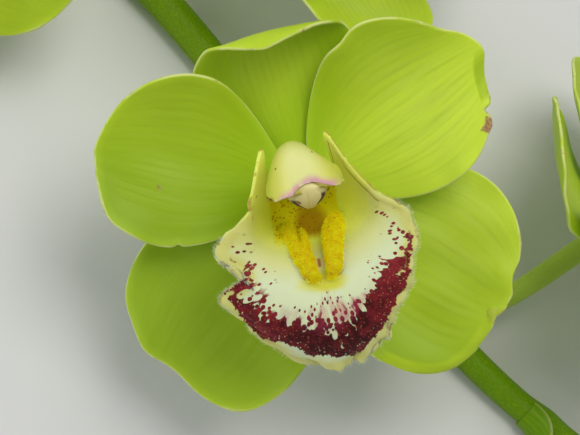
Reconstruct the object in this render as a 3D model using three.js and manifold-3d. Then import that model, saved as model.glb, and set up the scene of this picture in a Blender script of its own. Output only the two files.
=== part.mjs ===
// A cut cymbidium orchid stem, lying on a surface with its blooms facing up and outwards.
// Frame: +X runs from the cut end to the young tip, +Z is up, millimetres throughout.
// The origin is under the middle of the whole stem, on the surface that it lies on.
import * as THREE from "three";
import { mergeVertices } from "three/addons/utils/BufferGeometryUtils.js";
import Module from "manifold-3d";

const wasm = await Module();
wasm.setup();

// ---------------------------------------------------------------- driving dimensions
const MIDDLE = new THREE.Vector3(-37.5, 0, 0); // middle of the layout below, on the surface

const TEPAL_THICKNESS = 1.1;
const LIP_THICKNESS = 1.0;
const BRACT_THICKNESS = 0.9;
const SEAT_GAP = 0.3; // air between a piece and what it sits on

const KNOB_RADIUS = 4.2; // top of the ovary, where the tepals are seated
const KNOB_DEPTH = 7;
const KNOB_PROFILE = [[0, -10], [3.3, -9], [KNOB_RADIUS, -KNOB_DEPTH], [KNOB_RADIUS, 0], [0, 0]];
const TEPAL_ROOT = KNOB_RADIUS + SEAT_GAP; // radius at which every tepal starts
const ROOT_HALF_WIDTH = 3.2;
const SEPAL_LAYER = -4.6; // height of the three outer tepals' roots over the bloom's centre
const PETAL_LAYER = -2.2; // the two inner tepals, in front of the sepals

// The stalk's centre line seen from above, and its lift off the surface.
const STALK_PLAN = [
  [-262, 7], [-225, 3.5], [-170, 0.5], [-110, -0.8], [-54, 0.2], [-10, -2], [35, -3.2],
  [77, -1.3], [108, 5], [138, 13], [166, 20],
];
const STALK_RISE_FROM = 84; // the stalk lies flat up to here, then its young end lifts
const STALK_RISE = 0.0022; // lift per millimetre squared beyond that point
const STALK_RADII = [[-262, 5.5], [-54, 4.8], [77, 4.0], [130, 3.0], [166, 2.1]];
const STALK_SIDES = 10;
const STALK_STEP = 11;
const NODE_SWELL = 0.55; // extra radius at each joint of the stalk
const NODE_SPREAD = 5;
const BRACT_WRAP = 75; // degrees of the stalk that each half of a bract's foot covers

// Rows and columns of each piece's mesh.
const FINE_GRID = { tepal: [9, 9], lip: [17, 14], column: [9, 14], cap: [12, 8] };
const COARSE_GRID = { tepal: [6, 6], lip: [9, 8], column: [6, 10], cap: [8, 6] };

const DEG = Math.PI / 180;

// Five tepals of an open bloom, drawn as if each pointed up and was then turned to its angle,
// anticlockwise seen from the front. length: from the bloom's middle. half: widths of the left and
// the right half. widest: share of the length. fill: below 1 gives a wider root. pitch and bend:
// degrees that the midrib leans forward at its root, and gains by its end. cup: how far the left
// and right margins stand forward. wave: ripple of the margins. point: a drawn-out tip.
const COMMON_TEPALS = {
  dorsal_sepal: {
    layer: SEPAL_LAYER, angle: 1, length: 48, half: [20.5, 20.5], widest: 0.56,
    pitch: 7, bend: 44, bendPower: 1.3, cup: [1.0, 1.0], wave: 0.7,
  },
  left_petal: {
    layer: PETAL_LAYER, angle: 66, length: 49, half: [20.5, 19], widest: 0.55,
    pitch: 9, bend: 6, bendPower: 1, cup: [1.5, 8.5], wave: 0.8,
  },
  right_petal: {
    layer: PETAL_LAYER, angle: -67, length: 49.5, half: [19.5, 20], widest: 0.55,
    pitch: 9, bend: 6, bendPower: 1, cup: [8.5, 1.5], wave: 0.8,
  },
  left_sepal: {
    layer: SEPAL_LAYER, angle: 128, length: 51, half: [23, 21.5], widest: 0.56,
    pitch: -3, bend: 8, bendPower: 1.5, cup: [2.5, -1.5], wave: 0.8,
  },
  right_sepal: {
    layer: SEPAL_LAYER, angle: -130, length: 51, half: [21.5, 22.5], widest: 0.57,
    pitch: -2, bend: 8, bendPower: 1.5, cup: [-1.5, 2.5], wave: 0.8,
  },
};

// The fully open bloom on top of the stem has its own measured outline.
const MAIN_TEPALS = {
  dorsal_sepal: {
    ...COMMON_TEPALS.dorsal_sepal, angle: 4, length: 48, half: [18.8, 21], pitch: 9, bend: 150,
    bendPower: 3.6,
  },
  left_petal: {
    ...COMMON_TEPALS.left_petal, angle: 68, length: 49.2, half: [20.5, 20.4], cup: [2.5, 8.5],
  },
  right_petal: {
    ...COMMON_TEPALS.right_petal, angle: -66, length: 49.5, half: [22.4, 20], cup: [10, 1.5],
    widest: 0.58, fill: 0.7, point: 3.6, pointWidth: 0.32,
  },
  left_sepal: {
    ...COMMON_TEPALS.left_sepal, angle: 132, length: 57, half: [26.8, 22.2],
    point: -4, pointWidth: 0.55,
  },
  right_sepal: {
    ...COMMON_TEPALS.right_sepal, angle: -133.5, length: 55.5, half: [24.4, 25.6], widest: 0.6,
  },
};

// The lip as a loft: at each station the floor, the half-way point and the margin of one side.
const LIP_STATIONS = [
  { floor: [-4.1, 1.6], half: [3.0, -3.4, 2.0], left: [5.0, -1.4, 3.4], right: [5.0, -1.4, 3.4] },
  { floor: [-8.6, 7.8], half: [7.2, -6.4, 8.4], left: [7.8, 3.4, 9.8], right: [8.0, 3.7, 10.0] },
  { floor: [-12.0, 13.0], half: [9.6, -7.6, 13.6], left: [7.8, 9.6, 15.0], right: [7.4, 10.6, 15.4] },
  { floor: [-15.2, 17.2], half: [11.2, -9.6, 17.8], left: [12.0, 0.0, 19.0], right: [11.6, 1.2, 19.4] },
  { floor: [-18.6, 20.4], half: [12.6, -12.8, 21.0], left: [14.2, -4.6, 22.4], right: [16.2, -5.6, 23.4] },
  { floor: [-22.2, 22.6], half: [13.6, -16.4, 23.0], left: [19.8, -7.8, 25.4], right: [21.4, -9.6, 25.8] },
  { floor: [-25.8, 23.8], half: [13.8, -20.4, 24.0], left: [21.9, -12.8, 26.2], right: [23.0, -15.6, 26.2] },
  { floor: [-29.2, 24.0], half: [13.0, -24.6, 24.0], left: [17.4, -17.0, 24.8], right: [21.2, -21.6, 25.2] },
  { floor: [-32.4, 23.2], half: [12.8, -28.4, 23.2], left: [23.2, -21.0, 23.2], right: [19.6, -27.4, 23.6] },
  { floor: [-35.8, 21.4], half: [11.2, -33.0, 21.2], left: [19.9, -27.0, 21.0], right: [14.8, -33.0, 20.6] },
  { floor: [-39.2, 18.6], half: [8.4, -37.2, 18.6], left: [15.6, -32.0, 18.4], right: [10.8, -37.2, 17.8] },
  { floor: [-42.0, 15.4], half: [4.6, -41.0, 15.6], left: [8.2, -37.4, 16.2], right: [6.4, -40.0, 16.0] },
];
// The two yellow ridges on the lip's floor, raised from its surface.
const KEEL = { from: 0.15, to: 0.47, spreadFrom: 0.25, spreadTo: 0.06, width: 0.12, height: 2.7 };

// The column arches forward over the lip's throat.
const COLUMN_SPINE = [[0, 0, 1.0], [0, 1.2, 7], [0, 4.2, 14], [0, 4.4, 21], [0, -1.8, 27.2]];
const COLUMN_WIDTHS = [3.9, 4.2, 4.9, 6.2, 8.7];
const COLUMN_BACKS = [3.4, 3.8, 4.8, 5.2, 2.4];
const COLUMN_FRONTS = [3.2, 3.0, 2.8, 2.6, 1.4];
const ANTHER = { centre: [0, -3.1, 29.05], size: [4.5, 2.7, 1.9], tilt: 38 };

// The blooms, from the cut end to the tip. along: distance on +X of the bloom's centre.
// side: +1 on the +Y side of the stalk. reach: sideways from the stalk's line. lean: from
// upright, outwards. turn: the top of the bloom, from -X towards the stalk. node: where its
// own stalk leaves the main one. swing: the face's turn towards the tip.
const BLOOMS = [
  {
    name: "bloom_1", along: -176, side: 1, reach: 39, height: 30.3, lean: 33, turn: 24, swing: -6,
    node: -198, size: 0.97, seed: 3,
  },
  {
    name: "bloom_2", along: -118, side: -1, reach: 40, height: 30.66, lean: 31, turn: 34, swing: 4,
    node: -140, size: 0.96, seed: 11,
  },
  {
    name: "bloom_3", along: -52, side: 1, reach: 42, height: 30.17, lean: 34, turn: 22, swing: -4,
    node: -76, size: 0.95, seed: 23,
  },
  {
    name: "bloom_4", along: 0, side: -1, reach: 22, height: 49, lean: 20, turn: 30, swing: 0,
    node: -22, size: 1, seed: 0, main: true,
  },
  {
    name: "bloom_5", along: 62, side: 1, reach: 44, height: 30.15, lean: 36, turn: 31, swing: 6,
    node: 50, size: 0.93, seed: 41,
  },
];

// The unopened buds. node: where the bud's own stalk leaves. tip: from there to the bud's root.
// rise: degrees that the bud points up.
const BUDS = [
  { name: "bud_1", node: 88, tip: [26, -26, 10], length: 31, radius: 8.2, rise: -6 },
  { name: "bud_2", node: 118, tip: [20, 20, 6], length: 26, radius: 6.8, rise: 4 },
  { name: "bud_3", node: 144, tip: [16, -12, 3], length: 21, radius: 5.2, rise: 12 },
  { name: "bud_4", node: 162, tip: [11, 6, 3], length: 15, radius: 3.7, rise: 20 },
];

// ---------------------------------------------------------------- small mathematics
const vec = (x, y, z) => new THREE.Vector3(x, y, z);
const clamp = (x, low, high) => Math.min(high, Math.max(low, x));
const smoothstep = (low, high, x) => {
  const t = clamp((x - low) / (high - low), 0, 1);
  return t * t * (3 - 2 * t);
};

// A number from -1 to 1 that depends only on the seed and the index.
function wobble(seed, index) {
  const s = Math.sin(seed * 12.9898 + index * 78.233) * 43758.5453;
  return 2 * (s - Math.floor(s)) - 1;
}

// Catmull-Rom through a list of equal-length number arrays, t from 0 to 1.
function along(list, t) {
  const x = clamp(t, 0, 1) * (list.length - 1);
  const i = Math.min(Math.floor(x), list.length - 2);
  const f = x - i;
  const at = (k) => list[clamp(k, 0, list.length - 1)];
  return list[0].map((_, c) => {
    const a = at(i - 1)[c], b = at(i)[c], d = at(i + 1)[c], e = at(i + 2)[c];
    return b + 0.5 * f * (d - a + f * (2 * a - 5 * b + 4 * d - e + f * (3 * (b - d) + e - a)));
  });
}

// Straight-line reading of a table of [x, value] pairs.
function reading(table, x) {
  const i = clamp(table.filter((row) => row[0] < x).length, 1, table.length - 1);
  const [a, b] = [table[i - 1], table[i]];
  return a[1] + ((b[1] - a[1]) * clamp(x - a[0], 0, b[0] - a[0])) / (b[0] - a[0]);
}

// ---------------------------------------------------------------- closed meshes
function geometryOf(points, faces) {
  const g = new THREE.BufferGeometry();
  g.setAttribute("position", new THREE.Float32BufferAttribute(points.flatMap((p) => [p.x, p.y, p.z]), 3));
  g.setIndex(faces.flat());
  return g;
}

// The step is wide enough to smooth a fold that is tighter than a blade is thick.
function normalAt(surface, u, v) {
  const h = 0.06;
  const across = surface(u, Math.min(1, v + h)).sub(surface(u, Math.max(-1, v - h)));
  const outward = surface(Math.min(1, u + h), v).sub(surface(Math.max(0, u - h), v));
  return across.cross(outward).normalize();
}

// A thin closed blade about a surface of (u, v), with u from 0 to 1 and v from -1 to 1. Both faces
// are split into triangles alike.
function blade(surface, rows, columns, thickness) {
  const points = [];
  for (const face of [0.5, -0.5])
    for (let i = 0; i <= rows; i++)
      for (let j = 0; j <= columns; j++) {
        const u = i / rows, v = -1 + (2 * j) / columns;
        points.push(surface(u, v).addScaledVector(normalAt(surface, u, v), face * thickness));
      }
  const count = (rows + 1) * (columns + 1);
  const at = (i, j) => i * (columns + 1) + j;
  const faces = [];
  for (let i = 0; i < rows; i++)
    for (let j = 0; j < columns; j++) {
      const [a, b, c, d] = [at(i, j), at(i, j + 1), at(i + 1, j + 1), at(i + 1, j)];
      faces.push([a, b, c], [a, c, d]);
      faces.push([a + count, c + count, b + count], [a + count, d + count, c + count]);
    }
  const rim = [];
  for (let j = 0; j < columns; j++) rim.push([at(0, j), at(0, j + 1)]);
  for (let i = 0; i < rows; i++) rim.push([at(i, columns), at(i + 1, columns)]);
  for (let j = columns; j > 0; j--) rim.push([at(rows, j), at(rows, j - 1)]);
  for (let i = rows; i > 0; i--) rim.push([at(i, 0), at(i - 1, 0)]);
  for (const [a, b] of rim) faces.push([a, a + count, b + count], [a, b + count, b]);
  return geometryOf(points, faces);
}

// A closed skin over a row of rings that all have the same number of points.
function loft(rings) {
  const sides = rings[0].length;
  const middle = (ring) => ring.reduce((s, p) => s.add(p), vec(0, 0, 0)).divideScalar(sides);
  const points = [...rings.flat(), middle(rings[0]), middle(rings[rings.length - 1])];
  const [first, last] = [points.length - 2, points.length - 1];
  const faces = [];
  for (let i = 0; i + 1 < rings.length; i++)
    for (let j = 0; j < sides; j++) {
      const a = i * sides + j, b = i * sides + ((j + 1) % sides);
      faces.push([a, b, b + sides], [a, b + sides, a + sides]);
    }
  const end = (rings.length - 1) * sides;
  for (let j = 0; j < sides; j++) {
    faces.push([first, (j + 1) % sides, j]);
    faces.push([last, end + j, end + ((j + 1) % sides)]);
  }
  return geometryOf(points, faces);
}

// A ring of a round section about a centre, square to a direction; up says where its first side is.
function ring(centre, direction, up, sides, radius) {
  const side = new THREE.Vector3().crossVectors(direction, up).normalize();
  const top = new THREE.Vector3().crossVectors(side, direction).normalize();
  return Array.from({ length: sides }, (_, j) => {
    const a = (2 * Math.PI * (j + 0.5)) / sides;
    return centre.clone().addScaledVector(side, -radius * Math.sin(a))
      .addScaledVector(top, -radius * Math.cos(a));
  });
}

// manifold-3d only joins closed meshes here.
function solidOf(geometry) {
  const merged = mergeVertices(geometry, 1e-4);
  return new wasm.Manifold(new wasm.Mesh({
    numProp: 3,
    vertProperties: merged.attributes.position.array,
    triVerts: new Uint32Array(merged.index.array),
  }));
}

function joined(geometries) {
  const whole = geometries.map(solidOf).reduce((a, b) => a.add(b));
  const m = whole.getMesh();
  const g = new THREE.BufferGeometry();
  g.setAttribute("position", new THREE.BufferAttribute(new Float32Array(m.vertProperties), 3));
  g.setIndex(new THREE.BufferAttribute(new Uint32Array(m.triVerts), 1));
  return g;
}

// ---------------------------------------------------------------- tepals
const CORNER = 52 * DEG; // where a tepal's side margin hands over to its rounded end

// The midrib: distance outwards and forwards at a share t of its length.
function midrib(spec, t) {
  const steps = 16;
  let r = TEPAL_ROOT, z = spec.layer;
  for (let k = 0; k < steps; k++) {
    const s = (t * (k + 0.5)) / steps;
    const a = (spec.pitch + spec.bend * Math.pow(s, spec.bendPower)) * DEG;
    const step = (t * (spec.length - TEPAL_ROOT)) / steps;
    r += step * Math.cos(a);
    z += step * Math.sin(a);
  }
  return [r, z, (spec.pitch + spec.bend * Math.pow(t, spec.bendPower)) * DEG];
}

// A tepal as a surface of (u, v): a narrow root, a broad blade and a round end.
function tepal(spec, seed) {
  const turned = new THREE.Matrix4().makeRotationZ(spec.angle * DEG);
  const wide = spec.widest;
  return (u, v) => {
    const full = v < 0 ? spec.half[0] : spec.half[1];
    let t, width;
    if (u < wide) {
      t = u;
      const opened = Math.sin((Math.PI / 2) * (u / wide)) ** (spec.fill ?? 0.9);
      width = ROOT_HALF_WIDTH + (full - ROOT_HALF_WIDTH) * opened;
    } else {
      const f = (u - wide) / (1 - wide);
      const corner = CORNER * f;
      const arc = (Math.sqrt(1 - (v * Math.cos(corner)) ** 2) - Math.sin(corner)) / (1 - Math.sin(corner));
      t = wide + (1 - wide) * (Math.sin(corner) + (f - Math.sin(corner)) * arc);
      t += ((spec.point ?? 0.5) / spec.length) * f ** 3 * Math.exp(-((v / (spec.pointWidth ?? 0.22)) ** 2));
      width = full * Math.cos(corner);
    }
    const [r, z, slope] = midrib(spec, t);
    const share = (v * width) / full;
    const cup = (v < 0 ? spec.cup[0] : spec.cup[1]) * share * share * smoothstep(0, 0.5, t);
    const ripple = spec.wave * Math.abs(v) ** 3 * smoothstep(0.15, 0.6, t)
      * Math.sin(2 * Math.PI * (1.15 * t + 0.37 * wobble(seed, 1)) + (v < 0 ? 0.6 : 2.4));
    const out = cup + ripple;
    return vec(v * width, r - out * Math.sin(slope), z + out * Math.cos(slope)).applyMatrix4(turned);
  };
}

// ---------------------------------------------------------------- lip
// Ridge height at (u, v): two keels that run together towards the front of the lip.
function keel(u, v) {
  const f = (u - KEEL.from) / (KEEL.to - KEEL.from);
  if (f <= 0 || f >= 1) return 0;
  const centre = KEEL.spreadFrom + (KEEL.spreadTo - KEEL.spreadFrom) * f;
  const across = Math.exp(-(((Math.abs(v) - centre) / KEEL.width) ** 2) * 1.4);
  return KEEL.height * across * Math.pow(Math.sin(Math.PI * clamp(0.12 + 0.88 * f, 0, 1)), 0.6);
}

function lipFloor(u, v) {
  const rows = LIP_STATIONS.map((s) => [
    -s.left[0], s.left[1], s.left[2], -s.half[0], s.half[1], s.half[2],
    0, ...s.floor, ...s.half, ...s.right,
  ]);
  const row = along(rows, u);
  const stops = [0, 3, 6, 9, 12].map((k) => row.slice(k, k + 3));
  return along(stops, (v + 1) / 2);
}

function lip(seed) {
  const bare = (u, v) => vec(...lipFloor(u, v));
  return (u, v) => {
    const p = bare(u, v);
    const frill = smoothstep(0.45, 0.75, u) * Math.abs(v) ** 4 * 1.1
      * Math.sin(2 * Math.PI * (3.2 * u + 0.3 * wobble(seed, 7)) + v);
    const tipFrill = smoothstep(0.88, 1, u) * 0.9 * Math.sin(9 * v + wobble(seed, 8));
    // The normal points behind the lip, and the keels stand on its other face.
    return p.addScaledVector(normalAt(bare, u, v), frill + tipFrill - keel(u, v));
  };
}

// ---------------------------------------------------------------- column and anther cap
function column(rings, sides) {
  const spine = (t) => vec(...along(COLUMN_SPINE, t));
  const size = (values, t) => along(values.map((x) => [x]), t)[0];
  const sections = [];
  for (let i = 0; i <= rings; i++) {
    const t = i / rings;
    const ahead = spine(Math.min(1, t + 0.01)).sub(spine(Math.max(0, t - 0.01))).normalize();
    const back = vec(0, ahead.z, -ahead.y); // square to the spine, towards the bloom's top
    sections.push(Array.from({ length: sides }, (_, j) => {
      const a = (2 * Math.PI * j) / sides;
      const height = size(Math.sin(a) > 0 ? COLUMN_BACKS : COLUMN_FRONTS, t);
      const x = size(COLUMN_WIDTHS, t) * Math.sign(Math.cos(a)) * Math.abs(Math.cos(a)) ** 0.8;
      return spine(t).add(vec(x, 0, 0)).addScaledVector(back, height * Math.sin(a));
    }));
  }
  return loft(sections);
}

function antherCap(around, down) {
  const g = new THREE.SphereGeometry(1, around, down);
  g.scale(...ANTHER.size);
  g.rotateX(ANTHER.tilt * DEG);
  g.translate(...ANTHER.centre);
  return g;
}

// ---------------------------------------------------------------- stalk, side stalks, bracts
const stalkRadius = (x) => reading(STALK_RADII, x)
  + NODE_SWELL * [...BLOOMS, ...BUDS].reduce((s, b) => s + Math.exp(-(((x - b.node) / NODE_SPREAD) ** 2)), 0);

const stalkLine = new THREE.CatmullRomCurve3(STALK_PLAN.map(([x, y]) => vec(x, y, 0)));

function stalkPoint(x) {
  let low = 0, high = 1;
  for (let k = 0; k < 30; k++) {
    const mid = (low + high) / 2;
    if (stalkLine.getPoint(mid).x < x) low = mid;
    else high = mid;
  }
  const p = stalkLine.getPoint(low);
  const flat = stalkRadius(x) * Math.cos(Math.PI / STALK_SIDES);
  return vec(p.x, p.y, flat + STALK_RISE * Math.max(0, x - STALK_RISE_FROM) ** 2);
}

function stalkDirection(x) {
  return stalkPoint(x + 0.5).sub(stalkPoint(x - 0.5)).normalize();
}

function mainStalk() {
  const [start, end] = [STALK_PLAN[0][0], STALK_PLAN[STALK_PLAN.length - 1][0]];
  const steps = Math.round((end - start) / STALK_STEP);
  const rings = [];
  for (let i = 0; i <= steps; i++) {
    const x = start + ((end - start) * i) / steps;
    rings.push(ring(stalkPoint(x), stalkDirection(x), vec(0, 0, 1), STALK_SIDES, stalkRadius(x)));
  }
  return loft(rings);
}

// A tube along a cubic Bezier curve, with radii given along it.
function tube(p, radii, rings, sides) {
  const curve = new THREE.CubicBezierCurve3(...p);
  const sections = [];
  for (let i = 0; i <= rings; i++) {
    const t = i / rings;
    const radius = along(radii.map((x) => [x]), t)[0];
    sections.push(ring(curve.getPoint(t), curve.getTangent(t), vec(0.05, 0.02, 1), sides, radius));
  }
  return loft(sections);
}

// A pointed bract that clasps the stalk and flares away from it towards its tip.
function bract(x, side, length, flare) {
  const out = vec(0, side, 0.8).normalize();
  return (u, v) => {
    const at = x + length * u;
    const up = new THREE.Vector3().crossVectors(out, stalkDirection(at)).multiplyScalar(side);
    const a = v * (BRACT_WRAP * DEG * (1 - u ** 1.8) + 0.06);
    return stalkPoint(at).addScaledVector(out.clone().multiplyScalar(Math.cos(a))
      .addScaledVector(up, Math.sin(a)), stalkRadius(at) + flare * u ** 2);
  };
}

// ---------------------------------------------------------------- placing a bloom
function bloomFrame(b) {
  const lean = b.lean * DEG, swing = b.swing * DEG;
  const face = vec(Math.sin(swing), b.side * Math.sin(lean), Math.cos(lean)).normalize();
  const inward = vec(0, -b.side * Math.cos(lean), Math.sin(lean));
  const turn = b.turn * DEG;
  const top = vec(-Math.cos(turn), 0, 0).addScaledVector(inward, Math.sin(turn));
  const right = new THREE.Vector3().crossVectors(top, face).normalize();
  top.crossVectors(face, right);
  const centre = vec(b.along, b.side * b.reach, b.height);
  return new THREE.Matrix4().makeBasis(right, top, face).setPosition(centre);
}

function footOf(b) {
  return stalkPoint(b.node).add(vec(0, b.side * stalkRadius(b.node) * 0.3, 0));
}

// The side stalk and ovary of a bloom, ending in the knob that seats its tepals.
function bloomStalk(b) {
  const frame = bloomFrame(b);
  const local = (x, y, z) => vec(x, y, z).multiplyScalar(b.size).applyMatrix4(frame);
  const foot = footOf(b);
  const leave = foot.clone().add(vec(9, b.side * 11, 9));
  const knob = new THREE.LatheGeometry(KNOB_PROFILE.map(([r, z]) => new THREE.Vector2(r, z)), 10);
  knob.deleteAttribute("normal");
  knob.deleteAttribute("uv");
  knob.rotateX(Math.PI / 2).scale(b.size, b.size, b.size).applyMatrix4(frame);
  const arm = tube([foot, leave, local(0, 0, -KNOB_DEPTH - 20), local(0, 0, -KNOB_DEPTH - 1)],
    [3.0, 2.9, 2.9, 3.1, 3.2, 3.3].map((r) => r * b.size), 8, 8);
  return [knob, arm];
}

// ---------------------------------------------------------------- buds
function budFrame(b) {
  const foot = stalkPoint(b.node);
  const root = foot.clone().add(vec(...b.tip));
  const flat = Math.atan2(b.tip[1], b.tip[0]) * 0.55;
  const rise = b.rise * DEG;
  const ahead = vec(Math.cos(flat) * Math.cos(rise), Math.sin(flat) * Math.cos(rise), Math.sin(rise));
  return { foot, root, ahead };
}

const BUD_PROFILE = [0.34, 0.62, 0.88, 1.0, 0.98, 0.84, 0.56, 0.16];

function bud(b) {
  const { root, ahead } = budFrame(b);
  const start = root.clone().addScaledVector(ahead, SEAT_GAP);
  const side = new THREE.Vector3().crossVectors(ahead, vec(0, 0, 1)).normalize();
  const top = new THREE.Vector3().crossVectors(side, ahead).normalize();
  const rings = BUD_PROFILE.map((share, i) => {
    const t = i / (BUD_PROFILE.length - 1);
    const centre = start.clone().addScaledVector(ahead, b.length * t)
      .addScaledVector(top, -0.08 * b.length * t * t);
    return Array.from({ length: 12 }, (_, j) => {
      const a = (2 * Math.PI * j) / 12;
      const seam = 1 - 0.07 * Math.max(0, Math.cos(3 * a)) ** 2;
      const r = b.radius * share * seam;
      return centre.clone().addScaledVector(side, -r * Math.sin(a)).addScaledVector(top, -r * Math.cos(a));
    });
  });
  return loft(rings);
}

function budStalk(b) {
  const { foot, root, ahead } = budFrame(b);
  const leave = foot.clone().add(vec(6, b.tip[1] * 0.35, 3));
  const arrive = root.clone().addScaledVector(ahead, -8);
  return tube([foot, leave, arrive, root], [1.9, 1.6, 1.7, 0.34 * b.radius + 0.2], 5, 8);
}

// ---------------------------------------------------------------- the stem as one group
const finish = (hex, roughness) => new THREE.MeshStandardMaterial({ color: hex, roughness, metalness: 0 });
const MATERIALS = {
  tepal: finish(0x9fb83a, 0.5),
  lip: finish(0xe6e4bf, 0.5),
  column: finish(0xe4e39a, 0.4),
  anther: finish(0xeae6b8, 0.4),
  stalk: finish(0x5f8a26, 0.45),
  bud: finish(0x86a53a, 0.5),
};

const stem = new THREE.Group();
stem.position.copy(MIDDLE).negate();

function add(parent, name, geometry, material) {
  const mesh = new THREE.Mesh(geometry, material);
  mesh.name = name;
  parent.add(mesh);
}

// The common tepals with small differences of length, curl and angle that the bloom's seed sets.
function varied(spec, seed) {
  return {
    ...spec,
    length: spec.length * (1 + 0.03 * wobble(seed, spec.angle)),
    bend: spec.bend + 3 * wobble(seed, spec.length),
    angle: spec.angle + 2 * wobble(seed, 5),
  };
}

function addBloom(b) {
  const bloom = new THREE.Group();
  bloom.applyMatrix4(bloomFrame(b).scale(vec(b.size, b.size, b.size)));
  const grid = b.main ? FINE_GRID : COARSE_GRID;
  for (const [name, common] of Object.entries(b.main ? MAIN_TEPALS : COMMON_TEPALS)) {
    const spec = b.main ? common : varied(common, b.seed);
    const body = blade(tepal(spec, b.seed + common.angle), ...grid.tepal, TEPAL_THICKNESS);
    add(bloom, `${b.name}_${name}`, body, MATERIALS.tepal);
  }
  add(bloom, `${b.name}_lip`, blade(lip(b.seed), ...grid.lip, LIP_THICKNESS), MATERIALS.lip);
  add(bloom, `${b.name}_column`, column(...grid.column), MATERIALS.column);
  add(bloom, `${b.name}_anther_cap`, antherCap(...grid.cap), MATERIALS.anther);
  stem.add(bloom);
}

BLOOMS.forEach(addBloom);
BUDS.forEach((b) => add(stem, b.name, bud(b), MATERIALS.bud));

const bracts = [
  ...BLOOMS.map((b) => bract(b.node - 8, b.side, 15, 5)),
  ...BUDS.map((b) => bract(b.node - 5, Math.sign(b.tip[1]), 10, 3.5)),
  bract(-240, 1, 38, 5),
].map((surface) => blade(surface, 4, 2, BRACT_THICKNESS));
add(stem, "stalk", joined([
  mainStalk(), ...BLOOMS.flatMap(bloomStalk), ...BUDS.map(budStalk), ...bracts,
]), MATERIALS.stalk);

export default stem;
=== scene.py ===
"""A cut cymbidium orchid stem on a pale table: veined tepals, spotted lips, columns, stalk and buds.

Lengths of the plant are millimetres in the plant's own frame, +X from the cut end to the young tip
and +Z up, and become metres when a mesh is made. Each bloom has a frame of its own: +X to its
right, +Y to its dorsal sepal and +Z out of its face.
"""
from __future__ import annotations

import logging
import math
from dataclasses import dataclass, field, replace
from enum import Enum

import bmesh
import bpy
import numpy as np
from bpy.types import ID, Material, Node, NodeSocket, NodeTree, Object
from mathutils import Matrix, Vector
from mathutils.kdtree import KDTree


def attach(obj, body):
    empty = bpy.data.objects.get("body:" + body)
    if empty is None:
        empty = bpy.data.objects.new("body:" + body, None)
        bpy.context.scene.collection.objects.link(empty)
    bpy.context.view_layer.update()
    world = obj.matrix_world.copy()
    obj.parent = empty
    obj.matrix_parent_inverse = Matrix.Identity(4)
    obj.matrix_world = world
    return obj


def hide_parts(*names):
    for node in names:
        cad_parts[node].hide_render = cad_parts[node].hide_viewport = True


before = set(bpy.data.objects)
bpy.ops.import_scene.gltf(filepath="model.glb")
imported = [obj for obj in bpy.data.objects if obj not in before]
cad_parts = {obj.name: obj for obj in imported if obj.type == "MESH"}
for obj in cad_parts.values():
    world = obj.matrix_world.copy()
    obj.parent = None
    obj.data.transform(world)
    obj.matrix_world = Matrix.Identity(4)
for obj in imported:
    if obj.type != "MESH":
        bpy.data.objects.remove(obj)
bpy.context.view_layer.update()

log = logging.getLogger("orchid")

Array = np.ndarray
Colour = tuple[float, float, float]
Triple = tuple[float, float, float]
Faces = list[tuple[int, ...]]
Surface = tuple[Array, Faces]
Path = tuple[Array, Array]
Marks = dict[str, Array]

MM = 0.001
MIDDLE = np.array([-37.5, 0.0, 0.0])
KNOB_RADIUS = 4.2
KNOB_DEPTH = 7.0
SEAT_GAP = 0.3
TEPAL_ROOT = KNOB_RADIUS + SEAT_GAP
ROOT_HALF_WIDTH = 3.2
SEPAL_LAYER = -4.6
PETAL_LAYER = -2.2
CORNER = math.radians(52)

# Thickness of each kind of blade, and how far in from its margin it is reached.
TEPAL_BLADE = (0.9, 0.55)
LIP_BLADE = (0.85, 0.30)
BRACT_BLADE = (0.7, 0.35)


# ---------------------------------------------------------------- arithmetic
def smoothstep(low: float, high: float, x: Array) -> Array:
    """Smooth ramp from 0 at low to 1 at high."""
    t = np.clip((x - low) / (high - low), 0, 1)
    return t * t * (3 - 2 * t)


def bump(centre: float, spread: float, x: Array) -> Array:
    """Bell of height 1 round a centre."""
    return np.exp(-(((x - centre) / spread) ** 2))


def wobble(seed: float, index: float) -> float:
    """A number from -1 to 1 that depends only on the seed and the index."""
    s = math.sin(seed * 12.9898 + index * 78.233) * 43758.5453
    return 2 * (s - math.floor(s)) - 1


def unit(v: Array) -> Array:
    """Vectors along the last axis, each made one long."""
    return v / np.maximum(np.linalg.norm(v, axis=-1, keepdims=True), 1e-12)


def through(table: Array, t: Array) -> Array:
    """Catmull-Rom curve through the rows of a table.

    Args:
        table: one row per stop, evenly spaced in t.
        t: places from 0 to 1, any shape.

    Returns:
        The curve's values, with the table's columns as a last axis.
    """
    table = np.asarray(table, float)
    x = np.clip(t, 0, 1) * (len(table) - 1)
    i = np.minimum(np.floor(x).astype(int), len(table) - 2)
    f = (x - i)[..., None]
    a, b, d, e = (table[np.clip(i + k, 0, len(table) - 1)] for k in (-1, 0, 1, 2))
    return b + 0.5 * f * (d - a + f * (2 * a - 5 * b + 4 * d - e + f * (3 * (b - d) + e - a)))


def curve(stops: tuple[float, ...], t: Array) -> Array:
    """Smooth curve through numbers that are evenly spaced from 0 to 1."""
    return through(np.array(stops)[:, None], t)[..., 0]


def crowded(count: int, bend: float) -> Array:
    """Numbers from -1 to 1 that crowd towards both ends, more for a bend near a quarter turn."""
    return np.sin(bend * np.linspace(-1, 1, count)) / math.sin(bend)


def turns(count: int) -> Array:
    """Evenly spaced angles all round, in radians."""
    return 2 * math.pi * np.arange(count) / count


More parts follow.
